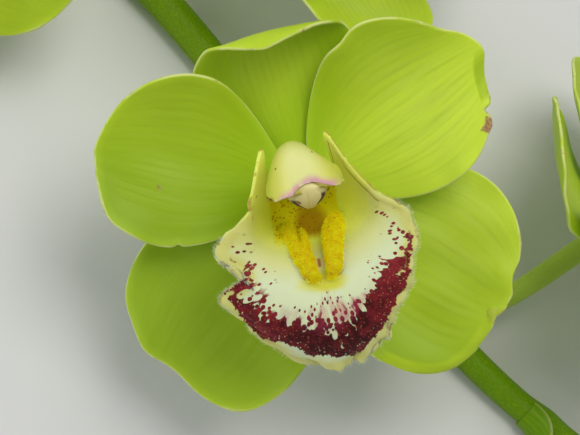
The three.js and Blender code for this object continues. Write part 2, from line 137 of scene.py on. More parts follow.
def ripples(x: Array, y: Array, scale: float, seed: float) -> Array:
    """Soft random relief about 1 high, from a few crossed waves.

    Args:
        x, y: places, of any shape.
        scale: about the length of the waves.
        seed: of their directions and phases.

    Returns:
        The relief at each place.
    """
    total = np.zeros_like(x)
    for k in range(5):
        angle = math.pi * wobble(seed, k + 0.3)
        pace = 2 * math.pi / (scale * (1 + 0.4 * wobble(seed, k + 0.7)))
        phase = math.pi * wobble(seed, k + 0.9)
        total += np.sin(pace * (x * math.cos(angle) + y * math.sin(angle)) + phase)
    return total / 2.4


# ---------------------------------------------------------------- meshes
@dataclass
class Sheet:
    """A thin closed blade about a mid-surface, rounded at its free margin and square at its root.

    Attributes:
        points: mid-surface in millimetres, rows from root to tip and columns from left to right.
        thickness: of the blade away from its margin.
        rounding: how far in from the margin the blade reaches its thickness.
        normals: of the mid-surface.
        rim: distance of each point from the free margin.
    """

    points: Array
    thickness: float = 1.0
    rounding: float = 0.5
    normals: Array = field(init=False)
    rim: Array = field(init=False)

    def __post_init__(self) -> None:
        """Works out the normals and each point's distance from the free margin."""
        along = np.gradient(self.points, axis=0)
        across = np.gradient(self.points, axis=1)
        self.normals = unit(np.cross(across, along))
        edge = np.concatenate([self.points[:, 0], self.points[-1], self.points[::-1, -1]])
        tree = KDTree(len(edge))
        for index, point in enumerate(edge):
            tree.insert(point, index)
        tree.balance()
        flat = self.points.reshape(-1, 3)
        near = np.array([tree.find(point)[2] for point in flat])
        self.rim = near.reshape(self.points.shape[:2])

    def surface(self) -> Surface:
        """Closes the blade.

        Returns:
            The vertices, front then back, and the faces.
        """
        rounded = np.sqrt(np.clip(1 - (1 - np.clip(self.rim / self.rounding, 0, 1)) ** 2, 0, 1))
        half = (0.5 * self.thickness * rounded)[..., None] * self.normals
        verts = np.concatenate([self.points + half, self.points - half]).reshape(-1, 3)
        rows, columns = self.points.shape[:2]
        at = np.arange(rows * columns).reshape(rows, columns)
        quads = np.stack([at[:-1, :-1], at[:-1, 1:], at[1:, 1:], at[1:, :-1]], axis=-1).reshape(-1, 4)
        count = rows * columns
        loop = np.concatenate([at[0, :-1], at[:-1, -1], at[-1, :0:-1], at[:0:-1, 0]])
        ahead = np.roll(loop, -1)
        rim = np.stack([loop, loop + count, ahead + count, ahead], axis=-1)
        faces = np.concatenate([quads, quads[:, ::-1] + count, rim])
        return verts, [tuple(face) for face in faces.tolist()]

    def marks(self, u: Array, v: Array) -> Marks:
        """Where each vertex lies on the blade: root to tip, left to right, and from the margin."""
        return {"growth": both_sides(np.stack([u, v, self.rim], axis=-1))}


def both_sides(values: Array, back: Triple = (1, 1, 1)) -> Array:
    """Vectors for a sheet's vertices, front then back, those of the back times three factors."""
    flat = values.reshape(-1, 3)
    return np.concatenate([flat, flat * np.array(back)])


def skin(rings: Array) -> Surface:
    """A closed skin over rings of points, with a point in the middle of each end.

    Args:
        rings: array of rings, each an array of points round the piece.

    Returns:
        The vertices and the faces.
    """
    count, sides = rings.shape[:2]
    ends = np.stack([rings[0].mean(axis=0), rings[-1].mean(axis=0)])
    verts = np.concatenate([rings.reshape(-1, 3), ends])
    faces: Faces = []
    for i in range(count - 1):
        for j in range(sides):
            a, b = i * sides + j, i * sides + (j + 1) % sides
            faces.append((a, b, b + sides, a + sides))
    first, last, top = count * sides, count * sides + 1, (count - 1) * sides
    for j in range(sides):
        faces.append((first, (j + 1) % sides, j))
        faces.append((last, top + j, top + (j + 1) % sides))
    return verts, faces


def capped(values: Array) -> Array:
    """Vectors for a skin's vertices: those of the rings, then one for the middle of each end."""
    flat = values.reshape(-1, values.shape[-1])
    return np.concatenate([flat, flat[:1], flat[-1:]])


def linked(name: str, data: ID) -> Object:
    """A new object in the scene, at the origin.

    Args:
        name: the object's name.
        data: its mesh, light or camera.

    Returns:
        The object.
    """
    made = bpy.data.objects.new(name, data)
    bpy.context.scene.collection.objects.link(made)
    return made


def solid(name: str, surface: Surface, material: Material, marks: Marks) -> Object:
    """Makes a closed, smooth-shaded object from vertices in the plant's millimetres.

    Args:
        name: the object's name.
        surface: vertices in the plant's frame, and faces that are turned outwards.
        material: the finish.
        marks: vectors kept on the vertices for the finish to read.

    Returns:
        The object, at the origin.
    """
    verts, faces = surface
    mesh = bpy.data.meshes.new(name)
    mesh.from_pydata(((verts - MIDDLE) * MM).tolist(), [], faces)
    for key, values in marks.items():
        layer = mesh.attributes.new(key, "FLOAT_VECTOR", "POINT")
        layer.data.foreach_set("vector", np.ascontiguousarray(values, dtype=np.float32).ravel())
    body = bmesh.new()
    body.from_mesh(mesh)
    bmesh.ops.remove_doubles(body, verts=body.verts, dist=1e-6)
    bmesh.ops.dissolve_degenerate(body, edges=body.edges, dist=1e-7)
    body.to_mesh(mesh)
    body.free()
    mesh.materials.append(material)
    mesh.polygons.foreach_set("use_smooth", [True] * len(mesh.polygons))
    return linked(name, mesh)


# ---------------------------------------------------------------- nodes
class Wiring:
    """Adds nodes to a tree, each from its type, its settings and its sockets' values or links."""

    def __init__(self, tree: NodeTree) -> None:
        """Keeps the tree that the nodes go in."""
        self.tree = tree

    def node(self, kind: str, settings: dict | None = None, sockets: dict | None = None) -> Node:
        """Adds one node.

        Args:
            kind: Blender's type name of the node.
            settings: its properties, and "stops" for a colour ramp.
            sockets: a value, a Number or an output socket for each input, by name or place.

        Returns:
            The node.
        """
        made = self.tree.nodes.new(kind)
        for key, value in (settings or {}).items():
            if key == "stops":
                while len(made.color_ramp.elements) < len(value):
                    made.color_ramp.elements.new(0.5)
                for element, (place, colour) in zip(made.color_ramp.elements, value):
                    element.position = place
                    element.color = (*colour, 1)
            else:
                setattr(made, key, value)
        for key, value in (sockets or {}).items():
            self.feed(made.inputs[key], value)
        return made

    def feed(self, socket: NodeSocket, value: object) -> None:
        """Links an output to a socket, or sets the socket's own value.

        Args:
            socket: the input.
            value: an output or a Number to link, or a value, where a colour has three parts.
        """
        value = value.socket if isinstance(value, Number) else value
        if isinstance(value, NodeSocket):
            self.tree.links.new(value, socket)
        elif isinstance(value, tuple) and socket.type == "RGBA":
            socket.default_value = (*value, 1)
        else:
            socket.default_value = value


class Number:
    """A socket that takes part in Python arithmetic, each step of which adds a Math node."""

    def __init__(self, wiring: Wiring, socket: NodeSocket) -> None:
        """Wraps an output socket."""
        self.wiring = wiring
        self.socket = socket

    def step(self, operation: str, *values: object) -> Number:
        """A Math node of some operation on this number and others."""
        node = self.wiring.node("ShaderNodeMath", {"operation": operation}, dict(enumerate(values)))
        return Number(self.wiring, node.outputs[0])

    def __add__(self, other: object) -> Number:
        """This plus other."""
        return self.step("ADD", self, other)

    def __sub__(self, other: object) -> Number:
        """This minus other."""
        return self.step("SUBTRACT", self, other)

    def __rsub__(self, other: object) -> Number:
        """Other minus this."""
        return self.step("SUBTRACT", other, self)

    def __mul__(self, other: object) -> Number:
        """This times other."""
        return self.step("MULTIPLY", self, other)

    def __truediv__(self, other: object) -> Number:
        """This over other."""
        return self.step("DIVIDE", self, other)

    def __pow__(self, other: object) -> Number:
        """This to the power of other."""
        return self.step("POWER", self, other)

    __radd__ = __add__
    __rmul__ = __mul__

    def size(self) -> Number:
        """This without its sign."""
        return self.step("ABSOLUTE", self)

    def fraction(self) -> Number:
        """What this holds past the whole number."""
        return self.step("FRACT", self)

    def most(self, other: object) -> Number:
        """The larger of this and other."""
        return self.step("MAXIMUM", self, other)

    def turn(self, other: object) -> Number:
        """The angle whose tangent is this over other."""
        return self.step("ARCTAN2", self, other)

    def ramp(self, low: object, high: object) -> Number:
        """Smooth ramp from 0 to 1.

        Args:
            low: where the ramp is 0.
            high: where it is 1, which may be less than low.

        Returns:
            The ramp, level past both ends.
        """
        sockets = {"Value": self, "From Min": low, "From Max": high}
        node = self.wiring.node("ShaderNodeMapRange", {"interpolation_type": "SMOOTHSTEP"}, sockets)
        return Number(self.wiring, node.outputs["Result"])


@dataclass(frozen=True)
class Flesh:
    """How a whole surface takes light in and throws it back.

    Attributes:
        weight: share of the light that goes in.
        radius: how far its red, green and blue spread, as shares of the depth.
        depth: in metres.
        shine: strength of the highlight.
        coat: strength of a clear coat.
    """

    weight: float = 0.0
    radius: Triple = (1.0, 0.2, 0.1)
    depth: float = 0.05
    shine: float = 0.5
    coat: float = 0.0


class Recipe(Wiring):
    """A material under construction round one Principled shader."""

    def __init__(self, name: str) -> None:
        """Starts an empty material.

        Args:
            name: the material's name.
        """
        self.material = bpy.data.materials.new(name)
        self.material.use_nodes = True
        super().__init__(self.material.node_tree)
        self.tree.nodes.clear()
        self.shader = self.node("ShaderNodeBsdfPrincipled")
        self.node("ShaderNodeOutputMaterial", sockets={"Surface": self.shader.outputs[0]})

    def parts(self, vector: NodeSocket) -> tuple[Number, Number, Number]:
        """The three numbers of a vector."""
        split = self.node("ShaderNodeSeparateXYZ", sockets={0: vector})
        return tuple(Number(self, out) for out in split.outputs)

    def mark(self, name: str) -> tuple[Number, Number, Number]:
        """The three numbers that a mesh keeps under a name."""
        return self.parts(self.node("ShaderNodeAttribute", {"attribute_name": name}).outputs["Vector"])

    def place(self) -> NodeSocket:
        """Object coordinates."""
        return self.node("ShaderNodeTexCoord").outputs["Object"]

    def vector(self, x: object, y: object, z: object) -> NodeSocket:
        """A vector of three numbers."""
        return self.node("ShaderNodeCombineXYZ", sockets={0: x, 1: y, 2: z}).outputs[0]

    def noise(self, vector: object, scale: float, detail: float = 2.0, rough: float = 0.5) -> Number:
        """Soft noise from 0 to 1 at a vector."""
        sockets = {"Vector": vector, "Scale": scale, "Detail": detail, "Roughness": rough}
        return Number(self, self.node("ShaderNodeTexNoise", sockets=sockets).outputs[0])

    def cells(self, vector: object, scale: float) -> Number:
        """Distance to the nearest of the points scattered through a vector's space."""
        sockets = {"Vector": vector, "Scale": scale}
        return Number(self, self.node("ShaderNodeTexVoronoi", sockets=sockets).outputs["Distance"])

    def mix(self, amount: object, first: object, second: object) -> NodeSocket:
        """Mixes two colours.

        Args:
            amount: share of the second colour.
            first, second: colours, or sockets of colours.

        Returns:
            The mixed colour.
        """
        made = self.node("ShaderNodeMix", {"data_type": "RGBA"}, {"Factor": amount})
        self.feed(made.inputs[6], first)
        self.feed(made.inputs[7], second)
        return made.outputs[2]

    def layers(self, colour: object, *layers: tuple[object, object]) -> NodeSocket:
        """Lays colours over a first one.

        Args:
            colour: the first.
            layers: amount and colour of each, from the bottom.

        Returns:
            The mixed colour.
        """
        for amount, over in layers:
            colour = self.mix(amount, colour, over)
        return colour

    def table(self, value: Number, rows: tuple[tuple[float, ...], ...]) -> tuple[Number, Number, Number]:
        """Three numbers read from rows of a place from 0 to 1 and three values from 0 to 1."""
        ramp = self.node("ShaderNodeValToRGB", {"stops": [(row[0], row[1:]) for row in rows]}, {0: value})
        return self.parts(ramp.outputs[0])

    def relief(self, height: Number, depth: float) -> NodeSocket:
        """A bump of some depth in metres where the height is 1."""
        sockets = {"Height": height, "Distance": depth, "Strength": 1.0}
        return self.node("ShaderNodeBump", sockets=sockets).outputs[0]

    def done(self, base: object, rough: Number, flesh: Flesh, normal: NodeSocket | None = None) -> Material:
        """Feeds the shader and closes the recipe.

        Args:
            base: the colour.
            rough: the roughness.
            flesh: what is the same all over.
            normal: the bump, if there is one.

        Returns:
            The material.
        """
        values = {
            "Base Color": base,
            "Roughness": rough,
            "Subsurface Weight": flesh.weight,
            "Subsurface Radius": flesh.radius,
            "Subsurface Scale": flesh.depth,
            "Specular IOR Level": flesh.shine,
            "Coat Weight": flesh.coat,
        }
        if normal is not None:
            values["Normal"] = normal
        for key, value in values.items():
            self.feed(self.shader.inputs[key], value)
        return self.material


# ---------------------------------------------------------------- finishes
class Leafage(Enum):
    """What a green surface of the plant belongs to."""

    STALK = "stalk"
    BRACT = "bract"


@dataclass(frozen=True)
class TepalFinish:
    """Waxy yellow-green tepal with soft lengthwise veins and a thin pale margin, with painted light and
    shade from the tone and a painted sheen across the middle.
    """

    # Shaded, plain and lit copies of the green, mixed by the tone to paint light and shade.
    leaf: Colour = (0.45, 0.61, 0.018)
    bright: Colour = (0.62, 0.79, 0.050)
    shade: Colour = (0.29, 0.44, 0.007)
    deep: Colour = (0.27, 0.42, 0.004)
    # Greyish sheen painted across the middle of the blade, partly its waxy bloom.
    bloom: Colour = (0.52, 0.62, 0.10)
    margin: Colour = (0.68, 0.72, 0.28)
    scar: Colour = (0.27, 0.13, 0.04)
    root: Colour = (0.34, 0.53, 0.002)
    speck: Colour = (0.10, 0.06, 0.012)
    dry: Colour = (0.46, 0.30, 0.14)
    veins: int = 10
    flesh: Flesh = Flesh(0.35, (0.9, 1.0, 0.08), 0.0022, 0.24)

    def build(self) -> Material:
        """Mixes the finish.

        Returns:
            The material.
        """
        r = Recipe("waxy_tepal")
        u, v, rim = r.mark("growth")
        scar, tone, seed = r.mark("kind")
        place = r.place()
        cloud = r.noise(place, 42, 3)
        grain = r.noise(place, 2600, 2, 0.7)
        lane = v * self.veins + (r.noise(r.vector(u * 1.2, v * 0.8, seed), 2.0) - 0.5) * 1.2
        main = (lane.fraction() - 0.5).size().ramp(0.12, 0.5)
        broken = r.noise(r.vector(u * 4, v * 10, seed), 1.0, 2).ramp(0.30, 0.72)
        lines = main * broken * u.ramp(0.05, 0.35) * rim.ramp(1.0, 7.0)
        silk = r.noise(r.vector(u * 2.2, v * 34, seed + 2), 1.0, 3, 0.6)
        broad = r.noise(r.vector(u * 0.9, v * 4.5, seed + 1), 1.0, 2)
        deepening = (1 - u).ramp(0.50, 0.95) * (0.85 - tone.ramp(0.1, 1.0) * 0.60)
        middle = u.ramp(0.30, 0.60) * u.ramp(1.0, 0.72) * (1 - v.size()).ramp(0.05, 0.6)
        # Painted sheen across the middle of the blade, stronger on the lighter-toned tepals.
        sheen_patch = middle * (tone.ramp(-0.7, 0.5) * 0.7 + 0.3)
        thin = r.noise(r.vector(u * 4, v * 3, seed + 6), 1.0, 2).ramp(0.30, 0.55)
        brown = r.noise(r.vector(u * 12, v * 5, seed + 3), 1.0, 3).ramp(0.62, 0.68) * rim.ramp(0.40, 0.1)
        torn = r.mix(r.noise(place, 1500, 2).ramp(0.35, 0.6), self.scar, self.dry)
        # The first two layers paint light and shade by the tone; the bloom layer paints the sheen.
        base = r.layers(
            self.shade,
            (tone.ramp(-1.0, 0.0), self.leaf),
            (tone.ramp(0.0, 1.0), self.bright),
            (deepening + (broad - 0.5) * 0.6 + (cloud - 0.5) * 0.35, self.root),
            (sheen_patch * (silk.ramp(0.35, 0.75) * 0.42 + (broad - 0.5) * 0.5), self.bloom),
            (lines * 0.24, self.deep),
            ((silk - 0.5).most(0.0) * 0.9 * (1 - middle), self.deep),
            ((grain - 0.5).size() * 0.42, self.deep),
            (rim.ramp(2.6, 0.5) * 0.18, self.bright),
            (rim.ramp(0.50, 0.14) * thin * 0.8, self.margin),
            (r.cells(place, 75).ramp(0.032, 0.020) * 0.85, self.speck),
            ((brown * 0.8).most(scar), torn),
        )
        height = lines * -0.35 + grain * 0.16 + cloud * 0.5 + silk * 0.15
        rough = 0.48 + (grain - 0.5) * 0.30 + (cloud - 0.5) * 0.1 + scar * 0.3
        return r.done(base, rough, self.flesh, r.relief(height, 0.00009))


@dataclass(frozen=True)
class LipFinish:
    """Velvety white lip: cream margin, maroon band breaking into spots, yellow ridges, olive throat.

    Attributes:
        fade: colours that lead outwards to the white, each with its share of the way.
        band: limits of the maroon round the hub: degrees from straight down, then how far out it
            ends, how far in it is solid and how far in its fingers reach.
        hub: the height in the bloom of the point that the band goes round.
        sweep: degrees that the band's table covers, half to each side of straight down.
        span: millimetres that stand for 1 where the table is kept as a colour ramp.
    """

    white: Colour = (0.70, 0.77, 0.51)
    cream: Colour = (0.64, 0.62, 0.19)
    green: Colour = (0.84, 0.92, 0.17)
    wall: Colour = (0.74, 0.66, 0.002)
    throat: Colour = (0.36, 0.19, 0.001)
    maroon: Colour = (0.052, 0.003, 0.004)
    crimson: Colour = (0.27, 0.016, 0.024)
    magenta: Colour = (0.36, 0.030, 0.085)
    pink: Colour = (0.50, 0.12, 0.17)
    yellow: Colour = (0.90, 0.77, 0.002)
    gold: Colour = (0.82, 0.58, 0.001)
    rust: Colour = (0.40, 0.10, 0.004)
    pad: Colour = (0.66, 0.63, 0.016)
    sheen: Colour = (0.55, 0.16, 0.07)
    worn: Colour = (0.31, 0.17, 0.04)
    flesh: Flesh = Flesh(0.85, (1.0, 0.95, 0.4), 0.0024, 0.18)
    fade: tuple[tuple[float, Colour], ...] = (
        (0.0, (0.78, 0.87, 0.070)), (0.12, (0.76, 0.83, 0.095)), (0.26, (0.66, 0.70, 0.120)),
        (0.40, (0.61, 0.63, 0.19)), (0.64, (0.67, 0.69, 0.33)),
    )
    hub: float = -15.0
    sweep: float = 200.0
    span: float = 30.0
    band: tuple[tuple[float, float, float, float], ...] = (
        (-96, 15.0, 15.0, 15.0), (-86, 17.0, 17.5, 13.0), (-80, 22.8, 21.6, 12.6), (-73, 22.3, 20.0, 12.6),
        (-65, 22.2, 18.4, 12.8), (-57, 22.4, 18.6, 14.2), (-48, 23.0, 18.8, 15.2), (-42, 23.1, 18.1, 14.8),
        (-35, 21.8, 17.6, 14.3), (-26, 21.9, 17.2, 13.7), (-19, 22.6, 17.4, 13.2), (-14, 23.8, 18.3, 12.6),
        (-8, 23.2, 18.8, 11.2), (-2, 24.3, 19.0, 10.4), (6, 24.6, 18.4, 11.2), (11, 24.2, 17.8, 12.6),
        (17, 23.5, 17.3, 13.0), (23, 23.0, 16.5, 13.1), (29, 22.0, 15.7, 13.4), (36, 21.3, 15.0, 13.6),
        (47, 20.2, 15.2, 13.2), (54, 21.0, 15.4, 13.2), (62, 20.4, 16.4, 12.2), (69, 20.4, 17.3, 12.2),
        (75, 20.4, 18.0, 13.6), (81, 21.0, 18.9, 15.2), (87, 20.8, 19.8, 16.4), (93, 18.6, 19.5, 17.4),
    )

    def ground(
        self, r: Recipe, x: Number, y: Number, rim: Number, ridge: Number
    ) -> tuple[NodeSocket, Number]:
        """The lip's colours under its markings, from white to the olive throat and yellow ridges.

        Args:
            r: the recipe that the nodes go in.
            x, y: place in the bloom, in millimetres.
            rim: distance from the margin.
            ridge: share of the ridges' height.

        Returns:
            The colour, and where the throat is.
        """
        cloud = r.noise(r.place(), 120, 2)
        below = (y * -1.0 - 5.0).most(0.0)
        aside = x * 0.87
        away = (aside * aside + below * below * 1.5) ** 0.5 + (cloud - 0.5) * 2.0
        stops = (*self.fade, (1.0, self.white))
        fade = r.node("ShaderNodeValToRGB", {"stops": stops}, {0: (away - 8.0) / 13.0})
        cream = rim.ramp(4.6, 1.6) * 0.9 * y.ramp(-2.0, -10.0) + (cloud - 0.5) * 0.15
        inward = ((x + 0.9).size() + (cloud - 0.5)).ramp(8.6, 7.5)
        inward = inward * y.ramp(-13.5, -11.0) * y.ramp(0.5, -3.0)
        low = (x * x + (y + 9.3) * (y + 9.3) * 0.8).ramp(24.0, 3.0)
        dots = r.cells(r.vector(x, y, 0.0), 1.15).ramp(0.32, 0.20) * inward
        pad = (x * x * 0.40 + (y + 22.2) * (y + 22.2) * 1.9 + (cloud - 0.5) * 20).ramp(17.0, 4.0)
        between = (x + 0.3 + (cloud - 0.5) * 0.8).size().ramp(0.6, 0.2) * (y + 18.2).size().ramp(1.2, 0.6)
        gold = r.layers(
            self.yellow,
            (r.noise(r.vector(x, y, 5.0), 0.9, 2).ramp(0.4, 0.7), self.gold),
            (r.cells(r.vector(x, y, 3.0), 0.85).ramp(0.22, 0.12) * 0.7, self.rust),
        )
        colour = r.layers(
            fade.outputs[0],
            (y.ramp(-6.0, 2.0) * 0.9, self.green),
            (cream, self.cream),
            (inward, self.wall),
            (inward * low * 0.85, self.throat),
            (dots * 0.8, self.rust),
            (pad * 0.9, self.pad),
            (between * 0.85, self.rust),
            (ridge.ramp(0.16, 0.34), gold),
        )
        return colour, inward

    def marks(
        self, r: Recipe, x: Number, y: Number, rim: Number, seed: Number
    ) -> tuple[Number, Number, Number]:
        """The maroon band with its net, fingers and spots.

        Args:
            r: the recipe that the nodes go in.
            x, y: place in the bloom, in millimetres.
            rim: distance from the margin.
            seed: of the spots.

        Returns:
            Where it is maroon, the share of the way in from the solid band to the fingers' ends,
            and the soft pink tint between the fingers.
        """
        down = (y - self.hub) * -1.0
        angle = x.turn(down)
        reach = (x * x + down * down) ** 0.5
        rows = tuple(
            (0.5 + degrees / self.sweep, *(limit / self.span for limit in limits))
            for degrees, *limits in self.band
        )
        limits = r.table(angle / math.radians(self.sweep) + 0.5, rows)
        outer, solid_from, fingers = (limit * self.span for limit in limits)
        jag = r.noise(r.vector(angle * 7.5, seed, 0.0), 1.0, 4, 0.75) - 0.5
        streak = r.noise(r.vector(angle * 7, reach * 0.10, seed + 3), 1.0, 3, 0.65)
        share = (solid_from - reach) / (solid_from - fingers).most(0.5) + (streak - 0.5) * 1.1
        loose = angle.ramp(math.radians(50), math.radians(72))
        net = r.cells(r.vector(angle * 10.5, reach * 0.27, seed + 9), 1.0)
        spot = r.cells(r.vector(angle * 14.5, reach * 0.68, seed + 2), 1.0)
        speck = r.cells(r.vector(angle * 24, reach * 1.3, seed + 5), 1.0)
        holes = share.ramp(-0.80, 0.50) * 0.60 + 0.03 + loose * 0.16
        body = (net - holes).ramp(-0.02, 0.05) * share.ramp(0.85, 0.55)
        body = body.most(share.ramp(-0.30, -0.60) * (net - 0.12).ramp(-0.03, 0.03) * (1 - loose))
        spots = 0.60 - share.ramp(-0.3, 1.25) * 0.34 - loose * 0.12
        body = body.most((spots - spot).ramp(-0.02, 0.05) * share.ramp(1.30, 1.15))
        body = body * (outer + jag * 4.2 - reach + (streak - 0.5) * 1.5).ramp(-0.08, 0.14)
        body = body * (1 - speck.ramp(0.20, 0.12) * (outer - reach).ramp(3.0, 0.5))
        body = body * angle.size().ramp(math.radians(97), math.radians(94))
        side = (angle.size() - math.radians(98)).size().ramp(math.radians(17), math.radians(12))
        apart = side * reach.ramp(14.0, 15.2) * reach.ramp(20.5, 19.0) * rim.ramp(1.2, 2.0)
        dash = r.cells(r.vector(angle * 15, reach * 0.52, seed + 4), 1.0).ramp(0.29, 0.23)
        dash = dash * apart * r.noise(r.vector(angle * 6, reach * 0.3, seed), 1.0, 1).ramp(0.38, 0.45)
        tint = share.ramp(-0.1, 0.3) * share.ramp(1.25, 0.7)
        tint = tint * angle.size().ramp(math.radians(58), math.radians(14))
        return body.most(dash), share, tint * streak.ramp(0.7, 0.3)

    def build(self) -> Material:
        """Mixes the finish.

        Returns:
            The material.
        """
        r = Recipe("velvet_lip")
        _, _, rim = r.mark("growth")
        x, y, ridge = r.mark("front")
        inner, _, seed = r.mark("kind")
        place = r.place()
        fine = r.noise(place, 1500, 2, 0.6)
        ground, inward = self.ground(r, x, y, rim, ridge)
        marks, share, tint = self.marks(r, x, y, rim, seed)
        marks = marks * inner * ridge.ramp(0.3, 0.1)
        depth = r.noise(place, 420, 4, 0.7).ramp(0.36, 0.64)
        side = x.ramp(4.0, 15.0) * 0.48 + x.ramp(-7.0, -16.0) * 0.36 - 0.18
        glint = r.cells(place, 1350).ramp(0.34, 0.12) * r.noise(place, 330, 2).ramp(0.35, 0.6)
        dark = r.layers(
            self.maroon,
            (depth * 0.65 + share.ramp(-0.2, 0.8) * 0.6 + side, self.crimson),
            (tint * 0.8, self.magenta),
            (glint * 0.6, self.sheen),
        )
        folded = x.ramp(3.0, 6.5) * y.ramp(-10.0, -6.0)
        edge = r.noise(r.vector(x * 0.35, y * 0.35, seed + 2), 1.0, 3)
        rust = (edge + folded * 0.16).ramp(0.52, 0.62) * rim.ramp(0.50, 0.12)
        rust = rust + (edge + folded * 0.36).ramp(0.60, 0.66) * bell(rim, 1.7, 0.42)
        colour = r.layers(
            ground, (tint * 0.75 * inner, self.pink), (marks, dark), (rust * 0.8, self.worn)
        )
        pores = r.cells(place, 1600)
        height = fine * 0.35 - pores * (marks * 0.4 + ridge * 0.8 + 0.12)
        rough = 0.58 - marks * 0.14 + (fine - 0.5) * 0.2 + inward * 0.05
        return r.done(colour, rough, self.flesh, r.relief(height, 0.00020))


def bell(value: Number, centre: float, spread: float) -> Number:
    """A bell of height 1 round a centre, zero past the spread."""
    return (value - centre).size().ramp(spread, 0.0)


@dataclass(frozen=True)
class ColumnFinish:
    """Smooth cream column: greener at its foot and sides, pink along the hood's rim, with a painted
    highlight along its top.
    """

    cream: Colour = (0.66, 0.66, 0.11)
    # Colour of the painted highlight along the top of the hood.
    pale: Colour = (0.75, 0.76, 0.27)
    green: Colour = (0.48, 0.53, 0.022)
    pink: Colour = (0.62, 0.28, 0.38)
    under: Colour = (0.58, 0.54, 0.06)
    dot: Colour = (0.30, 0.06, 0.01)
    corner: Colour = (0.10, 0.01, 0.01)
    speck: Colour = (0.12, 0.04, 0.02)
    flesh: Flesh = Flesh(0.25, (1.0, 0.9, 0.4), 0.002, 0.5, 0.08)

    def build(self) -> Material:
        """Mixes the finish.

        Returns:
            The material.
        """
        r = Recipe("waxy_column")
        along, around, rim = r.mark("growth")
        x, _, _ = r.mark("front")
        place = r.place()
        cloud = r.noise(place, 160, 2)
        # Painted highlight along the top of the hood.
        top_highlight = along.ramp(0.55, 0.85) * around.ramp(0.2, 0.95) * x.size().ramp(6.5, 1.0)
        blush = (rim + (cloud - 0.5) * 2.4).ramp(2.1, 0.3) * around.ramp(-0.35, 0.25)
        blush = blush * (x - 0.6).size().ramp(8.5, 4.5)
        colour = r.layers(
            self.green,
            (along.ramp(0.35, 0.95) + (cloud - 0.5) * 0.3, self.cream),
            (top_highlight, self.pale),
            (x.size().ramp(4.0, 8.5) * 0.55, self.green),
            (around.ramp(0.1, -0.35) * (1 - rim.ramp(3.0, 0.5)), self.under),
            (r.cells(place, 900).ramp(0.30, 0.20) * around.ramp(-0.1, -0.4) * 0.7, self.dot),
            (blush * 0.9 * r.noise(place, 330, 2).ramp(0.20, 0.5), self.pink),
            ((x + 8.2).size().ramp(1.3, 0.5) * rim.ramp(1.8, 0.7), self.corner),
            (r.cells(place, 260).ramp(0.085, 0.05) * along.ramp(0.5, 0.7), self.speck),
        )
        grain = r.noise(place, 1800, 2)
        relief = r.relief(grain * 0.3 + cloud * 0.6, 0.00012)
        return r.done(colour, 0.34 + (grain - 0.5) * 0.2, self.flesh, relief)


@dataclass(frozen=True)
class AntherFinish:
    """Pale cream cap with painted shadow in a thin slit along each side, partly a dark stain."""

    cream: Colour = (0.74, 0.65, 0.26)
    yellow: Colour = (0.64, 0.51, 0.11)
    # Near-black painted shadow in the gaps between the cap and the column.
    slit: Colour = (0.06, 0.024, 0.018)
    stain: Colour = (0.24, 0.07, 0.02)
    flesh: Flesh = Flesh(0.2, (1.0, 0.9, 0.4), 0.0015)

    def build(self) -> Material:
        """Mixes the finish.

        Returns:
            The material.
        """
        r = Recipe("anther_cap")
        x, y, shadow_and_stain = r.mark("front")
        place = r.place()
        cloud = r.noise(place, 300, 2)
        oval = (x * x + y * y * 0.9) ** 0.5
        right = bell(y.turn(x), -0.35, 1.0)
        left = bell(y.turn(x * -1.0), -0.60, 1.1)
        # Painted shadow in the slits between cap and column, partly a dark stain, weaker on the plain
        # blooms.
        slits = (oval - 0.85).size().ramp(0.12, 0.05) * (right + left).ramp(0.15, 0.6)
        slits = slits * (shadow_and_stain * 0.6 + 0.4)
        from_stain = (x + 0.60) * (x + 0.60) + (y + 0.10) * (y + 0.10)
        stain = (from_stain + (cloud - 0.5) * 0.06).ramp(0.05, 0.01)
        colour = r.layers(
            self.cream,
            (y.ramp(0.6, -0.9) * 0.6 + (cloud - 0.5) * 0.3, self.yellow),
            (slits, self.slit),
            (stain * shadow_and_stain * 0.85, self.stain),
            (bell(x, 0.0, 0.12) * y.ramp(0.9, 0.2) * 0.4, self.yellow),
        )
        relief = r.relief(cloud - slits * 2.0, 0.00015)
        return r.done(colour, 0.36 + (cloud - 0.5) * 0.2, self.flesh, relief)


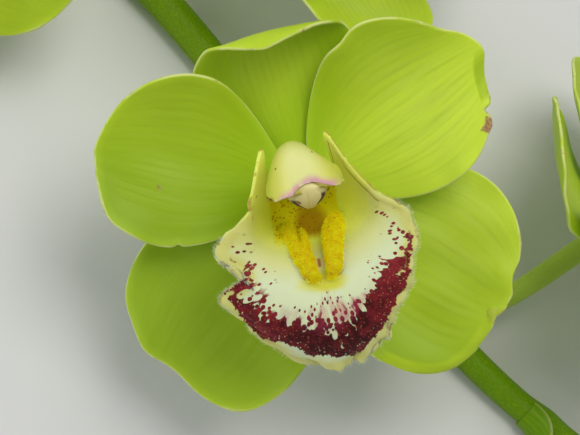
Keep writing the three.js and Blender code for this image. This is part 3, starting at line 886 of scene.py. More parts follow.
@dataclass(frozen=True)
class StalkFinish:
    """Fleshy green skin, striped lengthwise, of the stalk or of a bract."""

    kind: Leafage
    green: Colour = (0.130, 0.27, 0.002)
    light: Colour = (0.26, 0.42, 0.003)
    young: Colour = (0.52, 0.68, 0.09)
    cut: Colour = (0.52, 0.58, 0.28)
    dry: Colour = (0.33, 0.22, 0.09)
    bundle: Colour = (0.20, 0.30, 0.06)
    margin: Colour = (0.50, 0.52, 0.20)
    flesh: Flesh = Flesh(0.12, (0.6, 1.0, 0.1), 0.0015, 0.13)

    def build(self) -> Material:
        """Mixes the finish.

        Returns:
            The material.
        """
        r = Recipe(f"{self.kind.value}_skin")
        along, around, third = r.mark("growth")
        place = r.place()
        cloud = r.noise(place, 60, 3)
        lanes = around * (46 if self.kind is Leafage.STALK else 7)
        stripe = r.noise(r.vector(along * 1.5, lanes, 0.0), 1.0, 2)
        # Paler over the first 200 mm of each stem path, fading out by 280 mm.
        paler_start = along.ramp(280.0, 200.0) * 0.28 if self.kind is Leafage.STALK else 0.0
        grain = r.noise(place, 1900, 2)
        drawn = r.node("ShaderNodeMapping", sockets={"Vector": place, "Scale": (0.35, 1, 1)})
        pores = r.cells(drawn.outputs[0], 520)
        layers = [
            (stripe.ramp(0.3, 0.75) * 0.55 + (cloud - 0.5) * 0.7 + paler_start, self.light),
            (pores.ramp(0.16, 0.07) * 0.5, self.light),
        ]
        if self.kind is Leafage.STALK:
            young = third.ramp(0.02, 0.25) * (along.ramp(5.0, 25.0) * 0.75 + stripe * 0.2)
            face = r.mix(r.cells(place, 900).ramp(0.34, 0.22) * 0.6, self.cut, self.bundle)
            layers += [(young, self.young), (third.ramp(0.5, 0.9), face)]
        else:
            layers += [(third.ramp(1.0, 0.1) * 0.7, self.margin), (along.ramp(0.80, 1.0), self.dry)]
        colour = r.layers(self.green, *layers)
        relief = r.relief(stripe * 0.7 + grain * 0.15 - pores.ramp(0.2, 0.08) * 0.3, 0.0002)
        return r.done(colour, 0.40 + (grain - 0.5) * 0.25, self.flesh, relief)


@dataclass(frozen=True)
class BudFinish:
    """Waxy bud: veined sepals, greener at the root and along the seams."""

    leaf: Colour = (0.36, 0.49, 0.055)
    deep: Colour = (0.16, 0.29, 0.014)
    tip: Colour = (0.55, 0.58, 0.12)
    flesh: Flesh = Flesh(0.15, (0.8, 1.0, 0.2), 0.0015)

    def build(self) -> Material:
        """Mixes the finish.

        Returns:
            The material.
        """
        r = Recipe("bud_skin")
        along, seam, around = r.mark("growth")
        place = r.place()
        cloud = r.noise(place, 90, 3)
        grain = r.noise(place, 2200, 2)
        lane = around * 24 + (r.noise(r.vector(along * 3, around * 4, 0.0), 1.0) - 0.5)
        lines = (lane.fraction() - 0.5).size().ramp(0.34, 0.5)
        colour = r.layers(
            self.leaf,
            (along.ramp(0.55, 0.0) * 0.8 + (cloud - 0.5) * 0.5, self.deep),
            (lines * 0.35, self.deep),
            (seam.ramp(0.18, 0.02) * 0.7, self.deep),
            (along.ramp(0.7, 1.0) * 0.6, self.tip),
        )
        relief = r.relief(cloud * 0.5 + grain * 0.15 - lines * 0.3, 0.00018)
        return r.done(colour, 0.42 + (grain - 0.5) * 0.2, self.flesh, relief)


@dataclass(frozen=True)
class DownFinish:
    """Fine hairs or velvet grains of one colour with a little variation."""

    name: str
    colour: Colour
    other: Colour
    flesh: Flesh = Flesh(weight=0.3, depth=0.0005, shine=0.1)

    def build(self) -> Material:
        """Mixes the finish.

        Returns:
            The material.
        """
        r = Recipe(self.name)
        shade = r.noise(r.place(), 700, 1).ramp(0.35, 0.65)
        return r.done(r.mix(shade, self.colour, self.other), 0.5 + shade * 0.2, self.flesh)


@dataclass(frozen=True)
class TableFinish:
    """Plain pale table top."""

    colour: Colour = (0.76, 0.76, 0.73)
    other: Colour = (0.72, 0.72, 0.70)

    def build(self) -> Material:
        """Mixes the finish.

        Returns:
            The material.
        """
        r = Recipe("pale_table")
        shade = r.noise(r.place(), 3.0, 2)
        return r.done(r.mix(shade, self.colour, self.other), 0.75 + shade * 0.1, Flesh())


# ---------------------------------------------------------------- geometry nodes
class Growth(Wiring):
    """A Geometry Nodes tree under construction, with named inputs."""

    def __init__(self, name: str, inputs: dict[str, str]) -> None:
        """Starts a tree.

        Args:
            name: the tree's name.
            inputs: the socket type of each named input.
        """
        tree = bpy.data.node_groups.new(name, "GeometryNodeTree")
        super().__init__(tree)
        tree.interface.new_socket("Geometry", in_out="INPUT", socket_type="NodeSocketGeometry")
        self.names = {
            key: tree.interface.new_socket(key, in_out="INPUT", socket_type=kind).identifier
            for key, kind in inputs.items()
        }
        tree.interface.new_socket("Geometry", in_out="OUTPUT", socket_type="NodeSocketGeometry")
        self.given = self.node("NodeGroupInput").outputs

    def kept(self, name: str | NodeSocket, kind: str = "FLOAT") -> NodeSocket:
        """What the mesh keeps under a name."""
        found = self.node("GeometryNodeInputNamedAttribute", {"data_type": kind}, {"Name": name})
        return found.outputs["Attribute"]

    def close(self, geometry: NodeSocket) -> None:
        """Ends the tree: instances made real, smooth faces, and the material.

        Args:
            geometry: what the tree has made.
        """
        real = self.node("GeometryNodeRealizeInstances", sockets={"Geometry": geometry}).outputs[0]
        smooth = self.node("GeometryNodeSetShadeSmooth", sockets={"Geometry": real}).outputs[0]
        sockets = {"Geometry": smooth, "Material": self.given["Material"]}
        dressed = self.node("GeometryNodeSetMaterial", sockets=sockets).outputs[0]
        self.node("NodeGroupOutput", sockets={0: dressed})

    def grow(self, source: Object, name: str, values: dict[str, object]) -> Object:
        """Runs the tree on an object and keeps the result as a plain mesh.

        Args:
            source: the object that the tree starts from, which stays as it is.
            name: the new object's name.
            values: what each named input is set to.

        Returns:
            The new object.
        """
        modifier = source.modifiers.new(name, "NODES")
        modifier.node_group = self.tree
        for key, value in values.items():
            modifier[self.names[key]] = value
        graph = bpy.context.evaluated_depsgraph_get()
        mesh = bpy.data.meshes.new_from_object(source.evaluated_get(graph))
        source.modifiers.remove(modifier)
        mesh.name = name
        return linked(name, mesh)


def stem_tree() -> Growth:
    """Tubes along the paths of a wire mesh, as thick as it says at each point.

    Returns:
        The tree, whose inputs are the material and the number of sides.
    """
    inputs = {"Material": "NodeSocketMaterial", "Sides": "NodeSocketInt"}
    g = Growth("stems_along_paths", inputs)
    path = g.node("GeometryNodeMeshToCurve", sockets={"Mesh": g.given["Geometry"]}).outputs[0]
    sockets = {"Resolution": g.given["Sides"], "Radius": 1.0}
    section = g.node("GeometryNodeCurvePrimitiveCircle", sockets=sockets)
    place = g.node("GeometryNodeSplineParameter").outputs["Factor"]
    caught = g.node("GeometryNodeCaptureAttribute")
    caught.capture_items.new("FLOAT", "around")
    g.feed(caught.inputs["Geometry"], section.outputs[0])
    g.feed(caught.inputs["around"], place)
    sockets = {"Curve": path, "Profile Curve": caught.outputs["Geometry"], "Fill Caps": True}
    sockets["Scale"] = g.kept("thick")
    tube = g.node("GeometryNodeCurveToMesh", sockets=sockets).outputs[0]
    around = caught.outputs["around"]
    growth = g.node("ShaderNodeCombineXYZ", sockets={0: g.kept("along"), 1: around, 2: g.kept("cut")})
    settings = {"data_type": "FLOAT_VECTOR", "domain": "POINT"}
    sockets = {"Geometry": tube, "Name": "growth", "Value": growth.outputs[0]}
    g.close(g.node("GeometryNodeStoreNamedAttribute", settings, sockets).outputs[0])
    return g


def down_tree() -> Growth:
    """Small hairs or grains scattered where a surface's mark is high, leaning the way it says.

    Returns:
        The tree, whose inputs are the material, how many stand on a square metre, the seed,
        their sizes in metres and the name of the mark.
    """
    inputs = {
        "Material": "NodeSocketMaterial",
        "Density": "NodeSocketFloat",
        "Seed": "NodeSocketInt",
        "Width": "NodeSocketFloat",
        "Length": "NodeSocketFloat",
        "Mark": "NodeSocketString",
    }
    g = Growth("down_on_surface", inputs)
    here = g.node("FunctionNodeCompare", {"operation": "GREATER_THAN"}, {0: g.kept(g.given["Mark"]), 1: 0.5})
    sockets = {
        "Mesh": g.given["Geometry"],
        "Selection": here.outputs[0],
        "Density": g.given["Density"],
        "Seed": g.given["Seed"],
    }
    spread = g.node("GeometryNodeDistributePointsOnFaces", sockets=sockets)
    sockets = {"Vector": g.kept("lean", "FLOAT_VECTOR")}
    lean = g.node("FunctionNodeAlignRotationToVector", {"axis": "Z"}, sockets)
    top = g.node("ShaderNodeMath", {"operation": "MULTIPLY"}, {0: g.given["Width"], 1: 0.3})
    sockets = {
        "Vertices": 5,
        "Side Segments": 2,
        "Fill Segments": 1,
        "Radius Top": top.outputs[0],
        "Radius Bottom": g.given["Width"],
        "Depth": g.given["Length"],
    }
    hair = g.node("GeometryNodeMeshCone", {"fill_type": "TRIANGLE_FAN"}, sockets)
    shortest, longest = 2, 3
    sockets = {shortest: 0.45, longest: 1.15, "Seed": g.given["Seed"]}
    size = g.node("FunctionNodeRandomValue", {"data_type": "FLOAT"}, sockets)
    sockets = {
        "Points": spread.outputs[0],
        "Instance": hair.outputs[0],
        "Rotation": lean.outputs[0],
        "Scale": size.outputs[1],
    }
    g.close(g.node("GeometryNodeInstanceOnPoints", sockets=sockets).outputs[0])
    return g


# ---------------------------------------------------------------- tepals
@dataclass(frozen=True)
class Nick:
    """A small dent or tear in a tepal's margin, in the tepal's own plane with its tip up.

    Attributes:
        x, y: its middle.
        spread: how wide it is.
        depth: how far it draws the margin in, or out below 0.
        scar: how dry its edge is, from 0 to 1.
    """

    x: float
    y: float
    spread: float
    depth: float
    scar: float


@dataclass(frozen=True)
class Roll:
    """A stretch of margin that rolls back, between two angles clockwise from the tip's direction.

    Attributes:
        start, end: the angles, in degrees.
        width: how far in from the margin it begins.
        turn: degrees that it rolls.
        tone: what it adds to the tepal's tone: painted shade where below 0, a painted highlight where above
            0.
        blend: degrees over which it begins and ends.
    """

    start: float
    end: float
    width: float
    turn: float
    tone: float
    blend: float = 6


@dataclass(frozen=True)
class Tepal:
    """One tepal, drawn as if it pointed up and then turned to its angle, anticlockwise from the front.

    Attributes:
        layer: height of its root over the bloom's middle.
        angle: from the top of the bloom, in degrees.
        length: from the bloom's middle.
        half: widths of the left and the right half.
        widest: share of the length at which it is widest.
        pitch: degrees that the midrib leans forward at its root.
        bend: degrees that the midrib gains by its end, with bend_power for how late.
        cup: how far the left and right margins stand forward.
        wave: ripple of the margins.
        fill: below 1 gives a wider root.
        point: how far the tip is drawn out, over point_width of the width.
        nicks, rolls: dents and rolled stretches of its margin.
        tone: from -1 for a deeper green to 1 for a brighter one, partly its own green and partly painted
            light and shade on the whole tepal, with lit painting more light on its right side.
        slant: share of the left and the right half that is lost by the tip.
        point_at: share of the right half-width at which the tip is drawn out.
    """

    layer: float
    angle: float
    length: float
    half: tuple[float, float]
    widest: float
    pitch: float
    bend: float
    bend_power: float
    cup: tuple[float, float]
    wave: float
    fill: float = 0.9
    point: float = 0.5
    point_width: float = 0.22
    nicks: tuple[Nick, ...] = ()
    rolls: tuple[Roll, ...] = ()
    tone: float = 0.0
    lit: float = 0.0
    slant: tuple[float, float] = (0.0, 0.0)
    point_at: float = 0.0

    def midrib(self, t: Array) -> tuple[Array, Array, Array]:
        """Follows the midrib from its root in small steps.

        Args:
            t: shares of its length, up to 1.2.

        Returns:
            Distance outwards, height and slope at those shares.
        """
        steps, furthest = 600, 1.2
        s = (np.arange(steps) + 0.5) / steps * furthest
        a = np.radians(self.pitch + self.bend * s**self.bend_power)
        pace = (self.length - TEPAL_ROOT) * furthest / steps
        out = TEPAL_ROOT + np.concatenate([[0], np.cumsum(np.cos(a)) * pace])
        rise = self.layer + np.concatenate([[0], np.cumsum(np.sin(a)) * pace])
        ends = np.linspace(0, furthest, steps + 1)
        slope = np.radians(self.pitch + self.bend * np.clip(t, 0, None) ** self.bend_power)
        return np.interp(t, ends, out), np.interp(t, ends, rise), slope

    def outline(self, u: Array, v: Array) -> tuple[Array, Array]:
        """Gives the blade its outline.

        Args:
            u: from 0 at the root to 1 at the tip.
            v: from -1 at the left margin to 1 at the right one.

        Returns:
            Share of the length, and half-width.
        """
        full = np.where(v < 0, *self.half)
        opened = np.sin(math.pi / 2 * np.clip(u / self.widest, 0, 1)) ** self.fill
        f = np.clip((u - self.widest) / (1 - self.widest), 0, 1)
        corner = CORNER * f
        arc = (np.sqrt(1 - (v * np.cos(corner)) ** 2) - np.sin(corner)) / (1 - np.sin(corner))
        end = self.widest + (1 - self.widest) * (np.sin(corner) + (f - np.sin(corner)) * arc)
        end += (self.point / self.length) * f**3 * bump(self.point_at, self.point_width, v)
        early = u < self.widest
        width = np.where(early, ROOT_HALF_WIDTH + (full - ROOT_HALF_WIDTH) * opened, full * np.cos(corner))
        t = np.where(early, u, end)
        return t, width * (1 - np.where(v < 0, *self.slant) * smoothstep(0.55, 0.98, t))

    def surface(self, u: Array, v: Array, seed: float) -> Array:
        """The mid-surface in the bloom's frame, before its angle.

        Args:
            u, v: places on the blade, as for the outline.
            seed: of its waves.

        Returns:
            The points.
        """
        t, width = self.outline(u, v)
        r, z, slope = self.midrib(t)
        x = v * width
        share = x / np.where(v < 0, *self.half)
        cup = np.where(v < 0, *self.cup) * share**2 * smoothstep(0, 0.5, t)
        turn = 2 * math.pi * (1.15 * t + 0.37 * wobble(seed, 1)) + np.where(v < 0, 0.6, 2.4)
        out = cup + self.wave * np.abs(v) ** 3 * smoothstep(0.15, 0.6, t) * np.sin(turn)
        frill = np.sin(2 * math.pi * (4.3 * t + 0.5 * wobble(seed, 2)) + np.sign(v) * 1.3)
        out = out + 0.28 * np.abs(v) ** 6 * smoothstep(0.3, 0.7, t) * frill
        out = out - 0.20 * bump(0, 2.4, x) * smoothstep(0.02, 0.2, t) * (1 - smoothstep(0.5, 0.9, t))
        veins = 0.03 * np.cos(v * 26 + 0.6 * np.sin(5 * t)) * smoothstep(0.1, 0.4, t)
        out = out + veins * (1 - np.abs(v) ** 8)
        out = out + 0.30 * ripples(x, r, 17, seed) * smoothstep(0.1, 0.5, t)
        return np.stack([x, r - out * np.sin(slope), z + out * np.cos(slope)], axis=-1)

    def shaped(self, points: Array) -> tuple[Array, Array, Array]:
        """Adds the rolled stretches and the nicks.

        Args:
            points: the mid-surface with the tip up.

        Returns:
            The new points, how dry each is, and what each adds to the tone.
        """
        middle = np.array([0, 0.55 * self.length, 0])
        scar = np.zeros(points.shape[:2])
        tone = np.zeros(points.shape[:2])
        for roll in self.rolls:
            sheet = Sheet(points)
            away = points - middle
            away[..., 2] = 0
            heading = np.degrees(np.arctan2(away[..., 0], away[..., 1]))
            near = smoothstep(roll.start - roll.blend, roll.start + roll.blend, heading)
            near = near * smoothstep(roll.end + roll.blend, roll.end - roll.blend, heading)
            arc = np.clip(roll.width - sheet.rim, 0, None)
            angle = np.maximum(np.radians(roll.turn) * near * arc / roll.width, 1e-6)
            shift = unit(away) * (np.sin(angle) / angle - 1)[..., None] * arc[..., None]
            drop = sheet.normals * ((1 - np.cos(angle)) / angle * arc)[..., None]
            points = points + shift - drop
            # Paints shade or a highlight along the rolled stretch.
            tone = tone + roll.tone * near * smoothstep(0, 0.25 * roll.width, arc)
        for nick in self.nicks:
            beside, above = points[..., 0] - nick.x, points[..., 1] - nick.y
            pull = nick.depth * bump(0, nick.spread, np.hypot(beside, above))
            points = points + unit(middle - points) * pull[..., None]
            ragged = (np.abs(beside) + np.abs(above + 0.4 * beside)) / nick.spread
            scar = np.maximum(scar, nick.scar * smoothstep(1.75, 1.45, ragged))
        return points, scar, tone

    def blade(self, rows: int, columns: int, seed: float) -> tuple[Sheet, Marks]:
        """Makes the tepal's sheet in the bloom's frame.

        Args:
            rows, columns: how many points it has along and across.
            seed: of its small differences.

        Returns:
            The sheet, and what its finish reads.
        """
        rising = 1 - (1 - np.linspace(0, 1, rows)) ** 1.5
        u, v = np.meshgrid(rising, crowded(columns, 1.45), indexing="ij")
        points, scar, tone = self.shaped(self.surface(u, v, seed))
        a = math.radians(self.angle)
        turn = np.array([[math.cos(a), math.sin(a), 0], [-math.sin(a), math.cos(a), 0], [0, 0, 1]])
        sheet = Sheet(points @ turn, *TEPAL_BLADE)
        # The tone carries painted light and shade: the tepal's own tone, and lit as painted light that grows
        # across to one side.
        tone = tone + self.tone + self.lit * v
        kind = np.stack([scar, tone, np.full_like(u, seed)], axis=-1)
        return sheet, {**sheet.marks(u, v), "kind": both_sides(kind)}


COMMON_TEPALS: dict[str, Tepal] = {
    "dorsal_sepal": Tepal(SEPAL_LAYER, 1, 48, (20.5, 20.5), 0.56, 7, 44, 1.3, (1.0, 1.0), 0.7),
    "left_petal": Tepal(PETAL_LAYER, 66, 49, (20.5, 19), 0.55, 9, 6, 1, (1.5, 8.5), 0.8),
    "right_petal": Tepal(PETAL_LAYER, -67, 49.5, (19.5, 20), 0.55, 9, 6, 1, (8.5, 1.5), 0.8),
    "left_sepal": Tepal(SEPAL_LAYER, 128, 51, (23, 21.5), 0.56, -3, 8, 1.5, (2.5, -1.5), 0.8),
    "right_sepal": Tepal(SEPAL_LAYER, -130, 51, (21.5, 22.5), 0.57, -2, 8, 1.5, (-1.5, 2.5), 0.8),
}

# The fully open bloom on top has outlines, folds and nicks of its own, and tones that paint the light and
# shade falling on each tepal.
OWN_TEPALS: dict[str, Tepal] = {
    "dorsal_sepal": replace(
        COMMON_TEPALS["dorsal_sepal"], angle=4, length=48, half=(18.8, 21), pitch=9, bend=150,
        bend_power=3.6, slant=(0.20, 0.0), tone=-0.1, lit=-0.45,
    ),
    "left_petal": replace(
        COMMON_TEPALS["left_petal"], angle=68, length=49.2, half=(20.5, 20.4), cup=(2.5, 8.5),
        nicks=(
            Nick(-6.3, 32.5, 0.5, 0.0, 0.7), Nick(-20.5, 26.0, 0.9, 0.7, 0.0),
            Nick(-20.0, 24.0, 8.0, 1.0, 0.0), Nick(-15.0, 42.0, 5.0, -1.1, 0.0),
        ),
        tone=-0.6, lit=0.45,
    ),
    "right_petal": replace(
        COMMON_TEPALS["right_petal"], angle=-66, length=49.5, half=(22.4, 20), cup=(10, 1.5),
        widest=0.58, fill=0.7, point=3.6, point_width=0.32, point_at=-0.12,
        nicks=(
            Nick(11.5, 45.0, 1.0, 1.8, 0.3), Nick(14.0, 42.5, 1.3, -0.5, 1.0),
            Nick(-6.5, 48.5, 4.0, -1.3, 0.0), Nick(-21.2, 25.4, 3.2, 1.3, 0.0),
        ),
        rolls=(Roll(0, 27, 2.8, 60, -1.5),), tone=0.85, lit=0.9,
    ),
    "left_sepal": replace(
        COMMON_TEPALS["left_sepal"], angle=132, length=57, half=(26.8, 22.2), point=-4,
        point_width=0.55,
        nicks=(
            Nick(-19.0, 50.0, 7.0, -1.7, 0.0), Nick(-25.5, 35.0, 6.0, 1.3, 0.0),
            Nick(13.0, 52.0, 6.0, 1.8, 0.0),
        ),
        tone=-0.8, lit=-0.25,
    ),
    "right_sepal": replace(
        COMMON_TEPALS["right_sepal"], angle=-133.5, length=55.5, half=(24.4, 25.6), widest=0.6,
        nicks=(
            Nick(2.5, 54.5, 1.4, 1.6, 0.25), Nick(16.0, 49.0, 9.5, -3.6, 0.0),
            Nick(-7.5, 52.4, 2.7, 1.7, 0.0), Nick(-3.3, 54.1, 1.3, -0.9, 0.0),
        ),
        rolls=(Roll(14, 75, 3.4, 50, 0.7),), tone=-0.02, lit=-0.75,
    ),
}


# ---------------------------------------------------------------- lip
@dataclass(frozen=True)
class Lip:
    """The lip: two upright side lobes, a broad frilled midlobe and two yellow ridges on its floor.

    Attributes:
        floor: points along its middle, as Y and Z, evenly spaced from root to tip.
        half: points halfway from there to the right margin, and mirrored to the left one.
        left, right: points of the margins, both given as if on the right.
        ridge_from, ridge_to: shares of the length at which the ridges begin and end.
        ridge_height: how far they stand up.
        fringe: width of the margin that carries hairs.
    """

    floor: tuple[tuple[float, float], ...] = (
        (-4.1, 1.6), (-8.6, 7.8), (-12.0, 13.0), (-15.2, 17.2), (-18.6, 20.4), (-22.2, 22.6),
        (-25.8, 23.8), (-29.2, 24.0), (-32.4, 23.2), (-35.8, 21.4), (-39.2, 18.6), (-42.0, 15.4),
    )
    half: tuple[Triple, ...] = (
        (3.0, -3.4, 2.0), (7.2, -6.4, 8.4), (9.6, -7.6, 13.6), (11.2, -9.6, 17.8),
        (12.6, -12.8, 21.0), (13.6, -16.4, 23.0), (13.8, -20.4, 24.0), (13.0, -24.6, 24.0),
        (12.8, -28.4, 23.2), (11.2, -33.0, 21.2), (8.4, -37.2, 18.6), (4.6, -41.0, 15.6),
    )
    left: tuple[Triple, ...] = (
        (5.0, -1.4, 3.4), (7.8, 3.4, 9.8), (7.8, 9.6, 15.0), (12.0, 0.0, 19.0),
        (14.2, -4.6, 22.4), (19.8, -7.8, 25.4), (21.9, -12.8, 26.2), (17.4, -17.0, 24.8),
        (23.2, -21.0, 23.2), (19.9, -27.0, 21.0), (15.6, -32.0, 18.4), (8.2, -37.4, 16.2),
    )
    right: tuple[Triple, ...] = (
        (5.0, -1.4, 3.4), (8.0, 3.7, 10.0), (7.4, 10.6, 15.4), (11.6, 1.2, 19.4),
        (16.2, -5.6, 23.4), (20.8, -9.6, 25.8), (22.0, -15.6, 26.2), (20.0, -21.6, 25.2),
        (18.0, -27.4, 23.6), (13.3, -33.0, 20.6), (10.2, -37.2, 17.8), (6.4, -40.0, 16.0),
    )
    ridge_from: float = 0.15
    ridge_to: float = 0.47
    ridge_height: float = 2.7
    fringe: float = 0.45

    def bare(self, u: Array, v: Array) -> Array:
        """Lofts the smooth blade, without frills and ridges.

        Args:
            u: from 0 at the root to 1 at the tip, by rows.
            v: from -1 at the left margin to 1, by columns.

        Returns:
            The points.
        """
        floor, half = np.array(self.floor), np.array(self.half)
        left, right = np.array(self.left), np.array(self.right)
        flip = np.array([-1, 1, 1])
        middle = np.concatenate([np.zeros((len(floor), 1)), floor], axis=1)
        stops = np.stack([left * flip, half * flip, middle, half, right], axis=1)
        rows = through(stops.reshape(len(floor), -1), u[:, 0]).reshape(len(u), 5, 3)
        return np.stack([through(row, (v[0] + 1) / 2) for row in rows])

    def ridges(self, u: Array, v: Array) -> Array:
        """Height of the two ridges as a share, blunt at the throat and running together in front.

        Args:
            u, v: places on the blade.

        Returns:
            The height at each place.
        """
        f = (u - self.ridge_from) / (self.ridge_to - self.ridge_from)
        stray = 0.010 * ripples(u * 60, np.sign(v) * 5, 2.3, 3)
        middle = 0.238 - 0.166 * f + stray
        across = (np.abs(v) - middle) / (0.036 + 0.086 * (1 - f))
        body = np.exp(-(np.abs(across) ** 5))
        start = 0.03 * ripples(v * 30, v * 0, 1.3, 5) + 0.75 * (np.abs(v) - middle)
        ends = smoothstep(0.0, 0.05, f + start) * smoothstep(1.03, 0.86, f)
        gap = 0.036 - 0.05 * np.clip(f, 0, 0.3)
        fork = 1 - bump(0, 1.0, (v + 0.197 - 0.05 * f) / gap) * smoothstep(0.48, 0.34, f)
        return body * ends * fork

    def spaced(self, count: int) -> Array:
        """Spaces the columns more closely on the ridges and at the margins.

        Args:
            count: how many columns there are.

        Returns:
            Their places, from 1 at the right margin to -1 at the left one.
        """
        y = np.linspace(1, -1, 2001)
        crowd = 1 + 1.6 * smoothstep(0.44, 0.36, np.abs(y)) + 2.2 * smoothstep(0.92, 0.97, np.abs(y))
        pace = np.cumsum(crowd)
        pace = (pace - pace[0]) / (pace[-1] - pace[0])
        return np.interp(np.linspace(0, 1, count), pace, y)

    def frilled(self, u: Array, v: Array, margin: Array, seed: float) -> Array:
        """Waves the midlobe and crimps its margin.

        Args:
            u, v: places on the blade.
            margin: share of each place in the crimped margin.
            seed: of the waves.

        Returns:
            How far each place stands back.
        """
        frill = 1.1 * smoothstep(0.45, 0.75, u) * np.abs(v) ** 4
        frill = frill * np.sin(2 * math.pi * (3.2 * u + 0.3 * wobble(seed, 7)) + v)
        frill += 0.9 * smoothstep(0.88, 1, u) * np.sin(9 * v + wobble(seed, 8))
        crimp = np.sin(2 * math.pi * 9.5 * u + 3 * v + seed) + 0.6 * np.sin(2 * math.pi * 17 * u - 2 * v)
        crimp = np.where(u > 0.93, np.sin(26 * v + seed), crimp)
        return frill + 0.32 * margin**2 * crimp * smoothstep(0.2, 0.4, u)

    def blade(self, rows: int, columns: int, seed: float) -> tuple[Sheet, Marks]:
        """Makes the lip's sheet in the bloom's frame.

        Args:
            rows, columns: how many points it has along and across.
            seed: of its small differences.

        Returns:
            The sheet, and what its finish and its hairs read.
        """
        rising = 1 - (1 - np.linspace(0, 1, rows)) ** 1.25
        u, v = np.meshgrid(rising, self.spaced(columns), indexing="ij")
        bare = self.bare(u, v)
        plain = Sheet(bare)
        ridge = self.ridges(u, v)
        margin = smoothstep(5.0, 0.0, plain.rim)
        rough = 0.10 * ripples(bare[..., 0], bare[..., 1], 1.1, seed + 4) * ridge
        folded = smoothstep(3.0, 6.5, bare[..., 0]) * smoothstep(-11.0, -7.0, bare[..., 1])
        rough = rough + 0.45 * folded * bump(0.75, 0.55, plain.rim)
        rise = self.ridge_height * ridge - self.frilled(u, v, margin, seed) + rough
        points = bare + plain.normals * rise[..., None]
        flutter = 0.35 * margin**2 * ripples(u * 60, v * 9, 3.1, seed + 1) * smoothstep(0.3, 0.45, u)
        points[..., :2] += unit(points[..., :2] - np.array([0, -20])) * flutter[..., None]
        sheet = Sheet(points, *LIP_BLADE)
        return sheet, self.marks(sheet, u, v, ridge, seed)

    def marks(self, sheet: Sheet, u: Array, v: Array, ridge: Array, seed: float) -> Marks:
        """Gathers what the finish and the hairs read at each vertex.

        Args:
            sheet: the finished blade.
            u, v: places on it.
            ridge: height of the ridges as a share.
            seed: of the spots.

        Returns:
            The marks, front then back.
        """
        front = np.stack([sheet.points[..., 0], sheet.points[..., 1], ridge], axis=-1)
        one = np.ones_like(u)
        face = np.stack([one, one * 0, one * seed], axis=-1)
        along = unit(np.gradient(sheet.points, axis=0))
        across = unit(np.gradient(sheet.points, axis=1))
        outward = -np.sign(v)[..., None] * across * np.abs(v)[..., None] ** 8 + along * u[..., None] ** 20
        margin = sheet.rim < self.fringe
        aside = margin[..., None]
        lean = unit(np.where(aside, outward, 0) + sheet.normals * np.where(aside, 0.25, 1))
        fringe = margin & (u > 0.24) & (sheet.points[..., 1] < -8)
        grain = ridge > 0.45
        return {
            **sheet.marks(u, v),
            "front": both_sides(front, (1, 1, 0)),
            "kind": both_sides(face, (0, 0, 1)),
            "lean": both_sides(lean),
            "fringe": both_sides(np.stack([fringe] * 3, axis=-1)),
            "grain": both_sides(np.stack([grain] * 3, axis=-1), (0, 0, 0)),
        }


